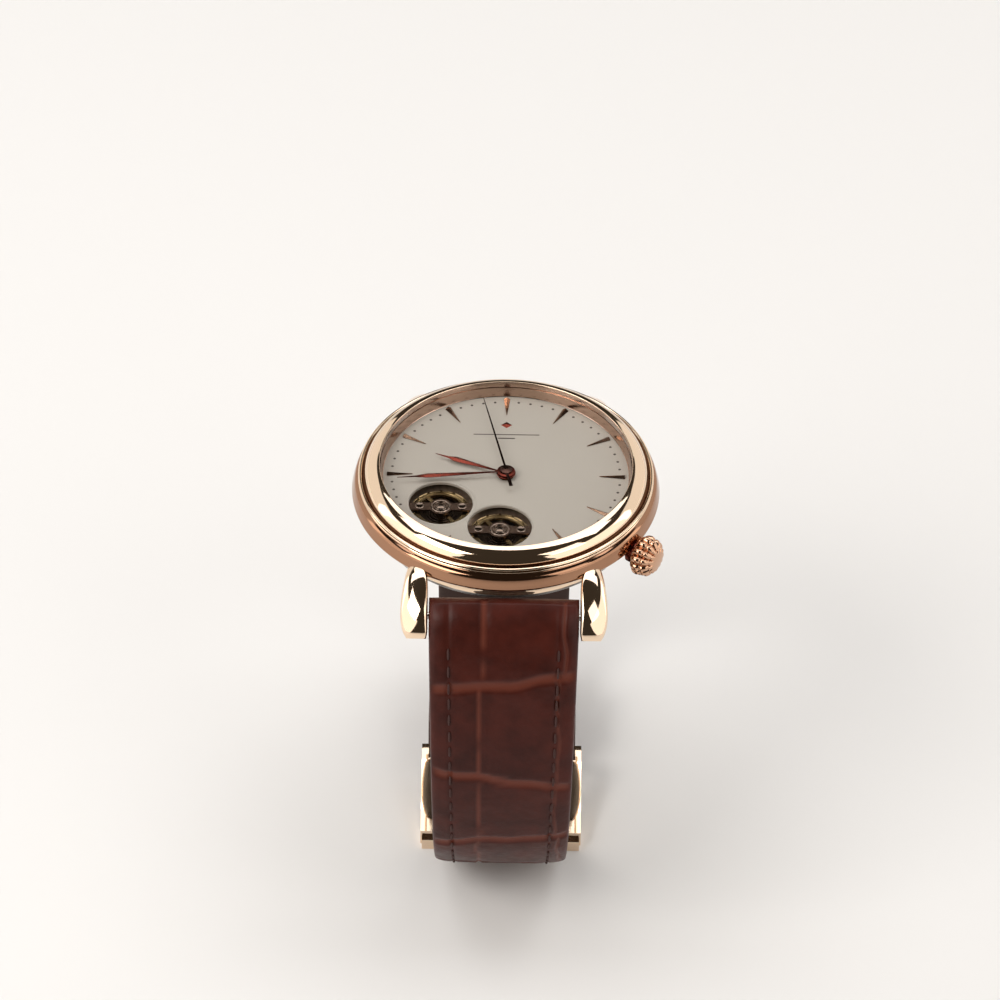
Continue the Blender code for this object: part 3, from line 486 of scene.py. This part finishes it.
# Each lug station: y, level of its middle, half thickness, inner x and outer x
LUG_STATIONS = (
    (14.9, -2.5, 1.0, 10.5, 12.3),
    (16.8, -2.9, 1.2, 9.95, 12.75),
    (18.4, -3.9, 1.45, LUG_INNER, 13.1),
    (20.0, -5.15, 1.7, LUG_INNER, LUG_OUTER),
    (21.4, -6.35, 1.65, LUG_INNER, LUG_OUTER),
    (22.5, -7.3, 1.3, LUG_INNER, 13.0),
    (23.1, -8.0, 0.7, 9.95, 12.5),
)
LUG_CORNERS = 48
# Over 1 moves a lug section's widest part towards its outer side
LUG_LEAN = 2.5
LUG_ROUNDNESS = 0.9


def lug():
    """The back right lug: a horn that swells outwards and bends down to its rounded tip."""
    stations = curve_through(LUG_STATIONS, CURVE_STEPS)
    sections = []
    for index, (y, level, half, inner, outer) in enumerate(stations):
        before = stations[max(index - 1, 0)]
        after = stations[min(index + 1, len(stations) - 1)]
        run = Vector((after[0] - before[0], after[1] - before[1])).normalized()
        section = []
        for corner in range(LUG_CORNERS):
            angle = FULL_TURN * (corner + 0.5) / LUG_CORNERS
            outside = (1 + math.cos(angle)) / 2
            up = math.copysign(abs(math.sin(angle)) ** LUG_ROUNDNESS, math.sin(angle))
            x = inner + outside ** LUG_LEAN * (outer - inner)
            section.append((x, y - run.y * up * half, level + run.x * up * half))
        sections.append(section)
    return lofted(sections)


def make_lugs():
    for across, side in ((1, "right"), (-1, "left")):
        for along, end in ((1, "back"), (-1, "front")):
            horn = placed(lug(), Matrix.Diagonal((across, along, 1, 1)))
            bmesh.ops.recalc_face_normals(horn, faces=horn.faces)
            piece(f"lug_{end}_{side}", horn, ROSE_GOLD, sharp=60)


def make_rehaut():
    profile = [(15.95, 0.06), (16.02, 0.1), (16.3, 1.28), (16.36, 1.28), (16.5, 0.9), (16.5, 0.06)]
    piece("rehaut_satin", turned(profile, CASE_STEPS), REHAUT_GOLD, replaces=["rehaut_ring"])


def make_crystal():
    edge = OPENING_RADIUS - 0.05
    dome = [(edge - 0.15, 2.13), (edge * 0.7, 2.27), (edge * 0.35, 2.36), (0.6, 2.39)]
    profile = [(0, 1.35), (edge, 1.35), (edge, 2.0), *smoothed(dome), (0, 2.39)]
    piece("crystal_domed", turned(profile, DIAL_STEPS), CRYSTAL, replaces=["crystal"], sharp=30)


BACK_LEVEL = -6.8
BACK_GROOVES, GROOVE_PITCH = 18, 0.6
KEY_SLOTS = 6


def make_case_back():
    """A screwed back with a stepped edge, six key slots painted as shadow sheets and a disc of fine turned
    grooves.
    """
    edge = [(15.9, -5.1), (16.7, -5.1), (16.7, -5.7), (17.1, -5.7), (17.2, -5.8), (17.2, -5.98), (17.1, -6.1),
            (16.3, -6.74), (16.1, BACK_LEVEL), (13.0, BACK_LEVEL), (12.9, -6.74), (12.6, -6.74),
            (12.5, BACK_LEVEL)]
    grooves = []
    for step in range(BACK_GROOVES):
        radius = 11.5 - GROOVE_PITCH * step
        grooves += [(radius, BACK_LEVEL), (radius - 0.25, -6.76)]
    profile = [*edge, *grooves, (0, -6.78), (0, -5.75), (15.9, -5.75)]
    piece("case_back_turned", turned(profile, DIAL_STEPS), BACK_STEEL_AND_SHADE, replaces=["case_back"], sharp=25)
    slots = []
    for step in range(KEY_SLOTS):
        turn = Matrix.Rotation(FULL_TURN * step / KEY_SLOTS, 4, "Z")
        outline = [(14.0, -0.6), (15.6, -0.6), (15.6, 0.6), (14.0, 0.6)]
        slots.append(placed(extruded(outline, -6.82, -6.79), turn))
    piece("case_back_slot_shadows", gathered(slots), SHADOW)


# Crown


def along_crown(bm):
    """Lays a solid drawn along +Z onto the crown's axis."""
    turn = Matrix.Rotation(CROWN_ANGLE, 4, "Z") @ Matrix.Rotation(math.radians(90), 4, "Y")
    return placed(bm, Matrix.Translation((0, 0, CROWN_LEVEL)) @ turn)


CROWN_RADIUS = 2.7
CROWN_START = 20.3
FLUTES, STEPS_PER_FLUTE = 13, 10
FLUTE_DEPTH = 0.22
LOBE_ROUNDNESS = 0.7
# Along the crown: distance from the watch's middle, and share of its radius
CROWN_PROFILE = (
    (CROWN_START, 0.60), (20.36, 0.78), (20.55, 0.90), (20.9, 0.98), (21.35, 1.0), (21.7, 0.955),
    (21.85, 0.90), (22.0, 0.93), (22.3, 0.93), (22.65, 0.83), (22.85, 0.72), (22.95, 0.68), (23.1, 0.66),
    (23.3, 0.48), (23.4, 0.24), (23.42, 0.06),
)


def make_crown():
    """An onion crown: three rows of rounded lobes with waists between them, on a domed end."""
    sections = []
    steps = FLUTES * STEPS_PER_FLUTE
    for distance, share in curve_through(CROWN_PROFILE, 4):
        depth = FLUTE_DEPTH * smooth(0.25, 0.7, share) * smooth(CROWN_START, CROWN_START + 0.2, distance)
        section = []
        for step in range(steps):
            angle = FULL_TURN * step / steps
            ridge = abs(math.cos(FLUTES * angle / 2)) ** LOBE_ROUNDNESS
            radius = CROWN_RADIUS * share * (1 - depth * (1 - ridge))
            section.append((*polar(radius, angle), distance))
        sections.append(section)
    piece("crown_fluted", along_crown(lofted(sections)), CROWN_GOLD, "crown", ["crown"], sharp=70)
    collar = turned([(0.96, 19.2), (1.5, 19.2), (1.55, 19.9), (1.45, 20.2), (0.96, 20.2)], 64)
    piece("crown_collar", along_crown(collar), HAND_METAL)


# Dial


APERTURE_RADIUS = 4.15
RIM_WALL = 0.12
RIM_WIDTHS = {"lower": 0.2, "left": 0.42}


def flat_place(name):
    """A balance's (x, y) in millimetres."""
    place = BALANCE_PLACES[name]
    return place[0] / MM, place[1] / MM


def ring_of(profile, centre):
    return turned(profile, RING_STEPS, centre)


def make_dial():
    """The plate, a raised rim round each opening and a thin raised ring outside the rim."""
    places = [flat_place(name) for name in BALANCE_PLACES]
    wall = APERTURE_RADIUS + RIM_WALL
    holes = [circle(wall, place) for place in places]
    plate = extruded(circle(DIAL_RADIUS, steps=DIAL_STEPS), -0.4, 0.0, [circle(1.0, steps=48), *holes])
    piece("dial_plate", plate, IVORY, replaces=["dial"], sharp=30)
    rims = []
    for name, place in zip(BALANCE_PLACES, places):
        outer = APERTURE_RADIUS + RIM_WIDTHS[name]
        rim = [(APERTURE_RADIUS, -0.4), (wall, -0.4), (wall, 0.002), (outer, 0.002), (outer - 0.05, 0.045),
               (APERTURE_RADIUS + 0.1, 0.05), (APERTURE_RADIUS, -0.06)]
        rims.append(ring_of(rim, place))
    piece("aperture_rims", gathered(rims), IVORY)
    inner = APERTURE_RADIUS + 0.38
    ring = [(inner, 0.0), (inner + 0.13, 0.0), (inner + 0.1, 0.02), (inner + 0.03, 0.02)]
    piece("aperture_rings", gathered([ring_of(ring, place) for place in places]), IVORY)


TRACK_RADIUS = 14.85
DOT_CLEARANCE = 0.7


def make_track():
    """Minute dots, printed between the hours and clear of the openings."""
    dots = []
    for minute in range(60):
        if minute % 5 == 0:
            continue
        x, y = polar(TRACK_RADIUS, clock_angle(6 * minute))
        nearest = min(math.dist((x, y), flat_place(name)) for name in BALANCE_PLACES)
        if nearest < APERTURE_RADIUS + DOT_CLEARANCE:
            continue
        dots.append(turned([(0, 0.0), (0.18, 0.0), (0.16, 0.012), (0, 0.016)], 16, (x, y)))
    piece("minute_dots", gathered(dots), PRINT)


def lozenge(middle, across, along, low, high):
    """A raised four-sided pyramid."""
    x, y = middle
    corners = [(x + across, y, low), (x, y + along, low), (x - across, y, low), (x, y - along, low)]
    bm = bmesh.new()
    base = [bm.verts.new(corner) for corner in corners]
    top = bm.verts.new((x, y, high))
    for start, end in zip(base, base[1:] + base[:1]):
        bm.faces.new((start, end, top))
    bm.faces.new(base[::-1])
    return bm


def make_emblem():
    """A plain raised lozenge, a thin rule and a dash, in place of any mark or lettering."""
    piece("dial_lozenge", lozenge((0, 10.2), 0.75, 0.62, 0.0, 0.16), HAND_METAL, sharp=20)
    rules = []
    for x, y, half in ((4.3, 8.25, 0.075), (1.1, 7.5, 0.1)):
        outline = [(-x, y - half), (x, y - half), (x, y + half), (-x, y + half)]
        rules.append(extruded(outline, 0.0, 0.012))
    piece("dial_rules", gathered(rules), PRINT)


NEEDLE_TIP = 0.035
# A blade narrower than twice this has a lower ridge
FULL_RIDGE_HALF_WIDTH = 0.25


def ridged(outline, low, edge, ridge):
    """A blade along +X with a sharp ridge: half widths are given at points along its length."""
    sections = []
    for x, half in outline:
        side = low + edge
        top = side + (ridge - edge) * min(1, half / FULL_RIDGE_HALF_WIDTH)
        sections.append([(x, -half, low), (x, half, low), (x, half, side), (x, 0, top), (x, -half, side)])
    return lofted(sections)


def leaf(length, half_width, belly, hub):
    """A leaf hand's (x, half width) points, widest at its belly."""
    neck = half_width * 0.3
    shape = [(hub * 0.6, neck), (belly * 0.25, neck * 1.1), (belly * 0.7, half_width * 0.75),
             (belly, half_width), (belly + 0.06 * length, half_width * 0.75)]
    return [*smoothed(shape, 4), (belly + 0.13 * length, half_width * 0.3), (length, NEEDLE_TIP)]


SECOND = 58
MINUTE = 43 + SECOND / 60
HOUR = 9 + MINUTE / 60
HUB_STEPS = 64


def make_leaf_hand(name, body, node, leaf_outline, hub, bore, low, clock_degrees):
    blade = ridged(leaf_outline, low, 0.06, 0.2)
    collar = turned([(bore, low), (hub - 0.05, low), (hub, low + 0.05), (hub, low + 0.12),
                     (hub - 0.15, low + 0.17), (bore, low + 0.17)], HUB_STEPS)
    turn = Matrix.Rotation(clock_angle(clock_degrees), 4, "Z")
    piece(name, placed(gathered([blade, collar]), turn), HAND_METAL, body, [node], sharp=20)


def make_hands():
    hour_leaf = leaf(9.9, 0.44, 6.9, 1.25)
    minute_leaf = leaf(14.2, 0.40, 10.0, 1.15)
    make_leaf_hand("hour_blade", "hours", "hour_hand", hour_leaf, 1.25, 0.9, 0.42, 30 * HOUR)
    make_leaf_hand("minute_blade", "minutes", "minute_hand", minute_leaf, 1.15, 0.67, 0.72, 6 * MINUTE)
    outline = [(-3.3, 0.24), (-2.2, 0.22), (-0.8, 0.15), (0, 0.15), (6, 0.12), (12, 0.08), (14.9, NEEDLE_TIP)]
    needle = ridged(outline, 1.0, 0.05, 0.1)
    dome = [(0, 1.0), (0.72, 1.0), (0.8, 1.04), (0.78, 1.1), (0.5, 1.2), (0.2, 1.25), (0, 1.26)]
    turn = Matrix.Rotation(clock_angle(6 * SECOND), 4, "Z")
    hand = placed(gathered([needle, turned(dome, HUB_STEPS)]), turn)
    piece("seconds_needle", hand, NEEDLE_METAL, "seconds", ["seconds_hand"], sharp=25)


# Balances, as seen through the dial


BALANCE_RIM = (
    (3.22, -1.42), (3.46, -1.42), (3.52, -1.36), (3.52, -1.14), (3.46, -1.08), (3.26, -1.08), (3.2, -1.14),
)
RIM_SCREWS = 14
RIM_SCREW_LEVEL = -1.28
BRIDGE_LEVELS = -0.85, -0.57
BOSS_RADIUS, ARM_REACH, ARM_HALF_WIDTH = 1.5, 4.9, 0.72
BRIDGE_SCREW_DISTANCE = 2.75


def bridge(centre):
    """A balance bridge: a round boss with a straight arm to each side, along the X axis."""
    steps = 120
    outline = []
    for step in range(steps):
        angle = FULL_TURN * step / steps
        arm = ARM_HALF_WIDTH / max(abs(math.sin(angle)), 1e-6)
        sideways = smooth(0.9, 1.0, abs(math.cos(angle)))
        reach = BOSS_RADIUS + sideways * (ARM_REACH - BOSS_RADIUS)
        radius = max(BOSS_RADIUS, min(reach, arm, ARM_REACH))
        x, y = polar(radius, angle)
        outline.append((centre[0] + x, centre[1] + y))
    low, high = BRIDGE_LEVELS
    return extruded(outline, low, high, [circle(0.62, centre, 48)])


def rim_screws(centre):
    """Screws that stand out of a balance rim like spokes."""
    screws = []
    for step in range(RIM_SCREWS):
        angle = FULL_TURN * (step + 0.5) / RIM_SCREWS
        screw = turned([(0, 3.4), (0.2, 3.4), (0.2, 3.78), (0.14, 3.84), (0, 3.84)], 16)
        turn = Matrix.Rotation(angle, 4, "Z") @ Matrix.Rotation(math.radians(90), 4, "Y")
        screws.append(placed(screw, Matrix.Translation((*centre, RIM_SCREW_LEVEL)) @ turn))
    return gathered(screws)


def bridge_screws(centre):
    head = [(0, -0.58), (0.58, -0.58), (0.6, -0.46), (0.5, -0.42), (0.42, -0.45), (0, -0.45)]
    heads = []
    for side in (-1, 1):
        heads.append(turned(head, 32, (centre[0] + side * BRIDGE_SCREW_DISTANCE, centre[1])))
    return gathered(heads)


def make_balances():
    outer_ring = [(1.0, -0.58), (1.04, -0.5), (1.14, -0.46), (1.26, -0.5), (1.3, -0.58)]
    inner_ring = [(0.72, -0.58), (0.74, -0.5), (0.8, -0.47), (0.86, -0.5), (0.88, -0.58)]
    cap_dome = [(0.0, -0.38), (0.3, -0.4), (0.55, -0.48), (0.7, -0.6), (0, -0.6)]
    window_edge = [(3.9, -2.15), (4.05, -2.15), (4.05, -1.44), (3.98, -1.4), (3.9, -1.44)]
    for name in BALANCE_PLACES:
        place = flat_place(name)
        body = f"balance_{name}"
        piece(f"balance_screws_{name}", rim_screws(place), GILT, body)
        piece(f"balance_rim_{name}", ring_of(BALANCE_RIM, place), GILT, body)
        piece(f"balance_bridge_arms_{name}", bridge(place), BRIDGE_METAL, replaces=[f"balance_bridge_{name}"])
        rings = [ring_of(outer_ring, place), ring_of(inner_ring, place)]
        piece(f"jewel_rings_{name}", gathered(rings), BRIGHT_STEEL)
        piece(f"cap_jewel_{name}", turned(cap_dome, 48, place), BRIGHT_STEEL)
        piece(f"bridge_screws_{name}", bridge_screws(place), BRIGHT_STEEL)
        piece(f"window_edge_{name}", ring_of(window_edge, place), GILT)


# Strap


LUG_END_THICKNESS = 3.6
TAIL_THICKNESS = 2.0
STRAP_WIDTH, TAIL_WIDTH = 19.3, 17.0
TAIL_CENTRE, INNER_CENTRE = 2.25, 4.55
# Along each strap's middle, from its lugs to its far end: y, and height above the floor
FRONT_LINE = (
    (-19.3, 51.7), (-21.9, 50.1), (-23.6, 46.9), (-25.6, 41.0), (-27.2, 33.0), (-27.3, 24.0), (-25.0, 14.5),
    (-19.5, 6.8), (-12.5, 2.9), (-7.0, TAIL_CENTRE), (0.0, TAIL_CENTRE), (10.0, TAIL_CENTRE),
    (19.0, TAIL_CENTRE),
)
BACK_LINE = (
    (19.3, 51.7), (21.9, 50.1), (23.6, 46.9), (25.7, 41.0), (27.3, 33.0), (27.8, 25.0), (26.9, 17.0),
    (24.2, 9.6), (19.6, 5.3), (14.0, INNER_CENTRE), (7.0, INNER_CENTRE), (0.7, INNER_CENTRE),
)
ACROSS_STEPS = 168
ALONG_STEPS = 34
FIRST_ROW, SECOND_ROW, SHORTEST_ROW = 11.0, 15.0, 5.0
ROW_SHRINK, ROW_SPREAD = 0.84, (0.93, 1.07)
ROW_SLANT, ROW_WANDER = 0.125, 0.7
# Lengthwise creases: where the left one runs, how far off the right one is, and how much they lean
CREASE_LEFT, CREASE_SPACING, CREASE_LEAN = (-3.1, -2.4), (9.6, 10.6), (-0.5, 0.5)
CREASE_WANDER = 0.35
CREASE_DEPTH, PADDING_SWELL = 0.24, 0.06
# Share of the full depth that a crease keeps at the strap's edges
EDGE_DEPTH = 0.35


def taper(share, full, narrow, start, end):
    """Full up to the start share of the length, narrow from the end share on."""
    return full + (narrow - full) * min(max((share - start) / (end - start), 0), 1)


class ScalePattern:
    """Square scales: rows across the strap that get shorter towards its tail, and lengthwise creases."""

    def __init__(self, length, seed):
        chance = random.Random(seed)
        self.rows = [FIRST_ROW]
        step = SECOND_ROW
        while self.rows[-1] < length:
            self.rows.append(self.rows[-1] + step * chance.uniform(*ROW_SPREAD))
            step = max(step * ROW_SHRINK, SHORTEST_ROW)
        self.creases = []
        for _ in range(len(self.rows) + 1):
            left = chance.uniform(*CREASE_LEFT)
            right = left + chance.uniform(*CREASE_SPACING)
            self.creases.append((left, right, chance.uniform(*CREASE_LEAN)))

    def depth(self, along, across, half):
        """How deep a crease is here, from 0 to 1."""
        wander = ROW_WANDER * noise.noise(Vector((across * 0.2, along * 0.03, 3.1)))
        row, row_depth = 0, 0.0
        for index, start in enumerate(self.rows):
            slant = ROW_SLANT * across * (-1 if index % 2 else 1)
            gap = along - start + slant - wander
            if gap > 0:
                row = index + 1
            row_depth = max(row_depth, 1 - smooth(0.2, 0.95, abs(gap)))
        left, right, lean = self.creases[row]
        start = self.rows[row - 1] if row else 0
        drift = lean * 0.05 * (along - start)
        drift += CREASE_WANDER * noise.noise(Vector((along * 0.3, row * 7.0, 0.5)))
        left_depth = 1 - smooth(0.05, 0.34, abs(across - left - drift))
        right_depth = 0.75 * (1 - smooth(0.05, 0.36, abs(across - right - drift)))
        inside = smooth(half, half - 1.2, abs(across))
        return max(row_depth, left_depth, right_depth) * (EDGE_DEPTH + (1 - EDGE_DEPTH) * inside)


def strap_path(line):
    """Points along the strap's middle, and how far along it each one lies."""
    path = curve_through(line, ALONG_STEPS)
    lengths = [0.0]
    for start, end in zip(path, path[1:]):
        lengths.append(lengths[-1] + (end - start).length)
    return path, lengths


def direction_at(path, index):
    before, after = path[max(index - 1, 0)], path[min(index + 1, len(path) - 1)]
    return (after - before).normalized()


END_ROUNDING = 1.4
# Shares of the way round a section between which its inner face is lining
LINING_START, LINING_END = 0.53, 0.97
STITCH_INSET = 2.5
STITCH_CHANNEL = 0.10


def stitch_depth(across, half):
    """The shallow channel that the stitching lies in."""
    return STITCH_CHANNEL * (1 - smooth(0.0, 0.55, abs(abs(across) - (half - STITCH_INSET))))


def rounded(value, power):
    """A sine or cosine made blunter: the lower the power, the squarer the section."""
    return math.copysign(abs(value) ** power, value)


def outer_offset(pattern, along, across, half, face):
    """How far creases, channels and padding move the outer face, and how deep a crease is here."""
    groove = pattern.depth(along, across, half) * face
    swell = PADDING_SWELL * noise.noise(Vector((across * 0.5, along * 0.35, 9.0))) * face
    return swell - CREASE_DEPTH * groove - stitch_depth(across, half) * face, groove


def strap_mesh(line, pattern, width_at, thickness_at, outward):
    """The padded strap: a crowned outer face with scales, round edges and a flat lining."""
    path, lengths = strap_path(line)
    total = lengths[-1]
    sections, grooves = [], []
    for index, point in enumerate(path):
        run = direction_at(path, index)
        share = lengths[index] / total
        half = width_at(share) / 2
        thick = thickness_at(share) / 2
        to_end = min(lengths[index], total - lengths[index])
        end_round = min(1, math.sqrt(max(1e-4, to_end / END_ROUNDING)))
        section = []
        for step in range(ACROSS_STEPS):
            angle = FULL_TURN * (step + 0.5) / ACROSS_STEPS
            cos, sin = math.cos(angle), math.sin(angle)
            outer = sin > 0
            x = half * rounded(cos, 0.55 if outer else 0.3)
            out = thick * rounded(sin, 0.5 if outer else 0.28) * end_round
            groove = 0.0
            if outer and end_round > 0.8:
                offset, groove = outer_offset(pattern, lengths[index], x, half, smooth(0.12, 0.5, sin))
                out += offset
            section.append((x, point.x - outward * run.y * out, point.y + outward * run.x * out))
            grooves.append(groove)
        sections.append(section)
    bm = lofted(sections)
    layer = bm.verts.layers.float.new("groove")
    bm.verts.ensure_lookup_table()
    for vert, groove in zip(bm.verts, grooves):
        vert[layer] = groove
    edges = (0, ACROSS_STEPS - 1, ACROSS_STEPS // 2, ACROSS_STEPS // 2 - 1)
    for face_index, face in enumerate(bm.faces):
        step = face_index % ACROSS_STEPS
        if LINING_START < step / ACROSS_STEPS < LINING_END:
            face.material_index = 1
        elif step in edges:
            face.material_index = 2
    return from_floor(bm)


def from_floor(bm):
    """Moves a solid whose heights are measured from the floor to levels from the dial."""
    return placed(bm, Matrix.Translation((0, 0, -DIAL_TOP)))


def front_width(share):
    return taper(share, STRAP_WIDTH, TAIL_WIDTH, 0.05, 0.6)


def front_thickness(share):
    return taper(share, LUG_END_THICKNESS, TAIL_THICKNESS, 0.1, 0.6)


def back_width(share):
    return taper(share, STRAP_WIDTH, TAIL_WIDTH, 0.05, 0.85)


def back_thickness(share):
    return taper(share, LUG_END_THICKNESS, TAIL_THICKNESS, 0.1, 0.7)


TIP_START = 0.955


def front_tail_width(share):
    """The front strap's width, narrowing to a rounded tip."""
    tip = max(0.0, (share - TIP_START) / (1 - TIP_START))
    return front_width(share) * math.sqrt(max(0.02, 1 - 0.85 * tip * tip))


STITCH_PITCH, STITCH_LENGTH = 2.3, 1.55
STITCH_START, STITCH_END_GAP = 7.0, 3.0
BACK_STITCH_END = 66
THREAD_RADIUS, THREAD_SINK = 0.16, 0.06
THREAD_CORNERS = 8


def stitch(middle, run, normal):
    """One stitch: a short round capsule of thread."""
    sections = []
    for along in (-0.5, -0.42, -0.25, 0, 0.25, 0.42, 0.5):
        radius = THREAD_RADIUS * math.sqrt(max(0.05, 1 - (2 * along) ** 4))
        spot = middle + run * along * STITCH_LENGTH
        section = []
        for corner in range(THREAD_CORNERS):
            across, out = polar(radius, FULL_TURN * corner / THREAD_CORNERS)
            section.append(spot + Vector((across, 0, 0)) + normal * out)
        sections.append(section)
    return lofted(sections)


def stitches(line, width_at, thickness_at, outward, last=math.inf):
    """Two rows of stitches, sunk a little into the leather."""
    path, lengths = strap_path(line)
    total = lengths[-1]
    made = []
    for side in (-1, 1):
        along = STITCH_START
        while along < min(last, total - STITCH_END_GAP):
            index = min(range(len(lengths)), key=lambda i: abs(lengths[i] - along))
            run = direction_at(path, index)
            share = along / total
            out = thickness_at(share) / 2 * 0.955 - THREAD_SINK
            normal = Vector((0, -outward * run.y, outward * run.x))
            x = side * (width_at(share) / 2 - STITCH_INSET)
            middle = Vector((x, *path[index])) + normal * out
            made.append(stitch(middle, Vector((0, *run)), normal))
            along += STITCH_PITCH
    return from_floor(gathered(made))


def make_straps():
    finish = [SCALES, LINING_AND_SHADE, EDGE_PAINT]
    pattern = ScalePattern(length=150, seed=4)
    front = strap_mesh(FRONT_LINE, pattern, front_tail_width, front_thickness, outward=-1)
    piece("strap_front_scales", front, finish, replaces=["strap_front"], sharp=60)
    pattern = ScalePattern(length=110, seed=11)
    back = strap_mesh(BACK_LINE, pattern, back_width, back_thickness, outward=1)
    piece("strap_back_scales", back, finish, replaces=["strap_back"], sharp=60)
    seam = stitches(FRONT_LINE, front_width, front_thickness, outward=-1)
    piece("strap_front_stitching", seam, THREAD, sharp=60)
    seam = stitches(BACK_LINE, back_width, back_thickness, outward=1, last=BACK_STITCH_END)
    piece("strap_back_stitching", seam, THREAD, sharp=60)


def make_clasp():
    softened("fixed_keeper_leather", "fixed_keeper", EDGE_PAINT, "case", 0.35, 4)
    softened("free_keeper_leather", "free_keeper", EDGE_PAINT, "keeper", 0.35, 4)
    softened("buckle_frame_polished", "buckle_frame", ROSE_GOLD, "buckle", 0.3, 4)
    softened("buckle_tongue_polished", "buckle_tongue", ROSE_GOLD, "tongue", 0.15, 3)


# Finishes of the CAD nodes that stay visible


def finish_nodes():
    """Gives each node the material of the group that holds the start of its name."""
    finishes = (
        (MARKER_METAL, ("marker_",)),
        (DARK_STEEL, ("hairspring",)),
        (RUBY, ("jewel",)),
        (PLATE, ("main_plate", "train_bridge")),
        (RUBBER, ("bezel_gasket", "back_gasket")),
        (GILT, ("balance_wheel", "centre_wheel", "third_wheel", "seconds_wheel", "minute_wheel", "hour_wheel",
                "mainspring_barrel")),
        (STEEL, ("rotor", "movement_ring", "escape_wheel", "pallet_fork", "cannon_pinion", "crown_tube",
                 "winding", "setting_lever", "spring_bar", "buckle_bar")),
    )
    for name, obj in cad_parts.items():
        for finish, starts in finishes:
            if name.startswith(starts):
                obj.data.materials.clear()
                obj.data.materials.append(finish)
                break


# Stage


FLOOR_HALF_WIDTH = 3.0


def make_floor():
    """A wide, flat, pale floor."""
    bm = bmesh.new()
    bmesh.ops.create_grid(bm, x_segments=1, y_segments=1, size=FLOOR_HALF_WIDTH)
    mesh = bpy.data.meshes.new("floor")
    bm.to_mesh(mesh)
    mesh.materials.append(Nodes("floor_pale").use(Base_Color=(0.80, 0.79, 0.78, 1), Roughness=0.6))
    floor = bpy.data.objects.new("floor", mesh)
    bpy.context.scene.collection.objects.link(floor)


SOFTBOX_WHITE = (1, 0.97, 0.93)
PANEL_WHITE = (1, 0.96, 0.91)


def area_light(name, place, target, size, power, colour=(1, 1, 1)):
    data = bpy.data.lights.new(name, "AREA")
    data.shape = "RECTANGLE"
    data.size, data.size_y = size
    data.energy = power
    data.color = colour
    light = bpy.data.objects.new(name, data)
    light.location = place
    light.rotation_euler = (Vector(target) - Vector(place)).to_track_quat("-Z", "Y").to_euler()
    bpy.context.scene.collection.objects.link(light)


def make_lights():
    """A key light, wide panels for the metal to mirror, a fill, and lights for the top and the floor."""
    target = (0, 0, DIAL_TOP * MM)
    area_light("key_softbox", (-0.30, -0.20, 0.40), target, (0.30, 0.20), 1.1, SOFTBOX_WHITE)
    area_light("left_panel", (-0.56, -0.18, 0.24), target, (0.9, 0.5), 2.1, PANEL_WHITE)
    area_light("right_panel", (0.57, -0.20, 0.24), target, (0.9, 0.5), 1.9, PANEL_WHITE)
    area_light("back_left_panel", (-0.48, 0.40, 0.24), target, (0.8, 0.5), 1.15, PANEL_WHITE)
    area_light("back_right_panel", (0.48, 0.40, 0.24), target, (0.8, 0.5), 1.15, PANEL_WHITE)
    area_light("right_fill", (0.30, -0.24, 0.42), target, (0.24, 0.20), 0.28, SOFTBOX_WHITE)
    area_light("top_softbox", (0.0, 0.26, 0.55), target, (0.7, 0.25), 1.0)
    area_light("floor_light", (0.0, 0.15, 0.80), (0, 0.30, 0.0), (1.3, 0.3), 2.8)
    world = bpy.data.worlds.new("studio")
    world.use_nodes = True
    background = world.node_tree.nodes["Background"]
    background.inputs["Color"].default_value = (0.90, 0.74, 0.58, 1)
    background.inputs["Strength"].default_value = 0.045
    bpy.context.scene.world = world


CAMERA_DISTANCE = 1.0
CAMERA_ELEVATION = math.radians(40.6)
CAMERA_ROLL = math.radians(0.85)
# How much the picture takes in across the dial, and how far the dial's middle stands right of and
# above the picture's middle
VIEW_WIDTH = 129.87
DIAL_OFFSET = Vector((0.727, 3.182))
SENSOR_MM = 36.0


def make_camera():
    """Looks down at the dial from the 6 o'clock side."""
    data = bpy.data.cameras.new("camera")
    data.sensor_width = SENSOR_MM
    data.lens = SENSOR_MM * CAMERA_DISTANCE / (VIEW_WIDTH * MM)
    camera = bpy.data.objects.new("camera", data)
    backwards = Vector((0, -math.cos(CAMERA_ELEVATION), math.sin(CAMERA_ELEVATION)))
    up = Vector((0, math.sin(CAMERA_ELEVATION), math.cos(CAMERA_ELEVATION)))
    shift = DIAL_OFFSET * MM
    target = Vector((0, 0, DIAL_TOP * MM)) - Vector((1, 0, 0)) * shift.x - up * shift.y
    camera.location = target + backwards * CAMERA_DISTANCE
    turn = (-backwards).to_track_quat("-Z", "Y").to_matrix() @ Matrix.Rotation(CAMERA_ROLL, 3, "Z")
    camera.rotation_euler = turn.to_euler()
    bpy.context.scene.collection.objects.link(camera)
    bpy.context.scene.camera = camera


make_camera()
make_bezel()
make_mid_case()
make_lugs()
make_rehaut()
make_crystal()
make_case_back()
make_crown()
make_dial()
make_track()
make_emblem()
make_hands()
make_balances()
make_straps()
make_clasp()
finish_nodes()
make_floor()
make_lights()
bpy.context.scene.view_settings.view_transform = "Standard"
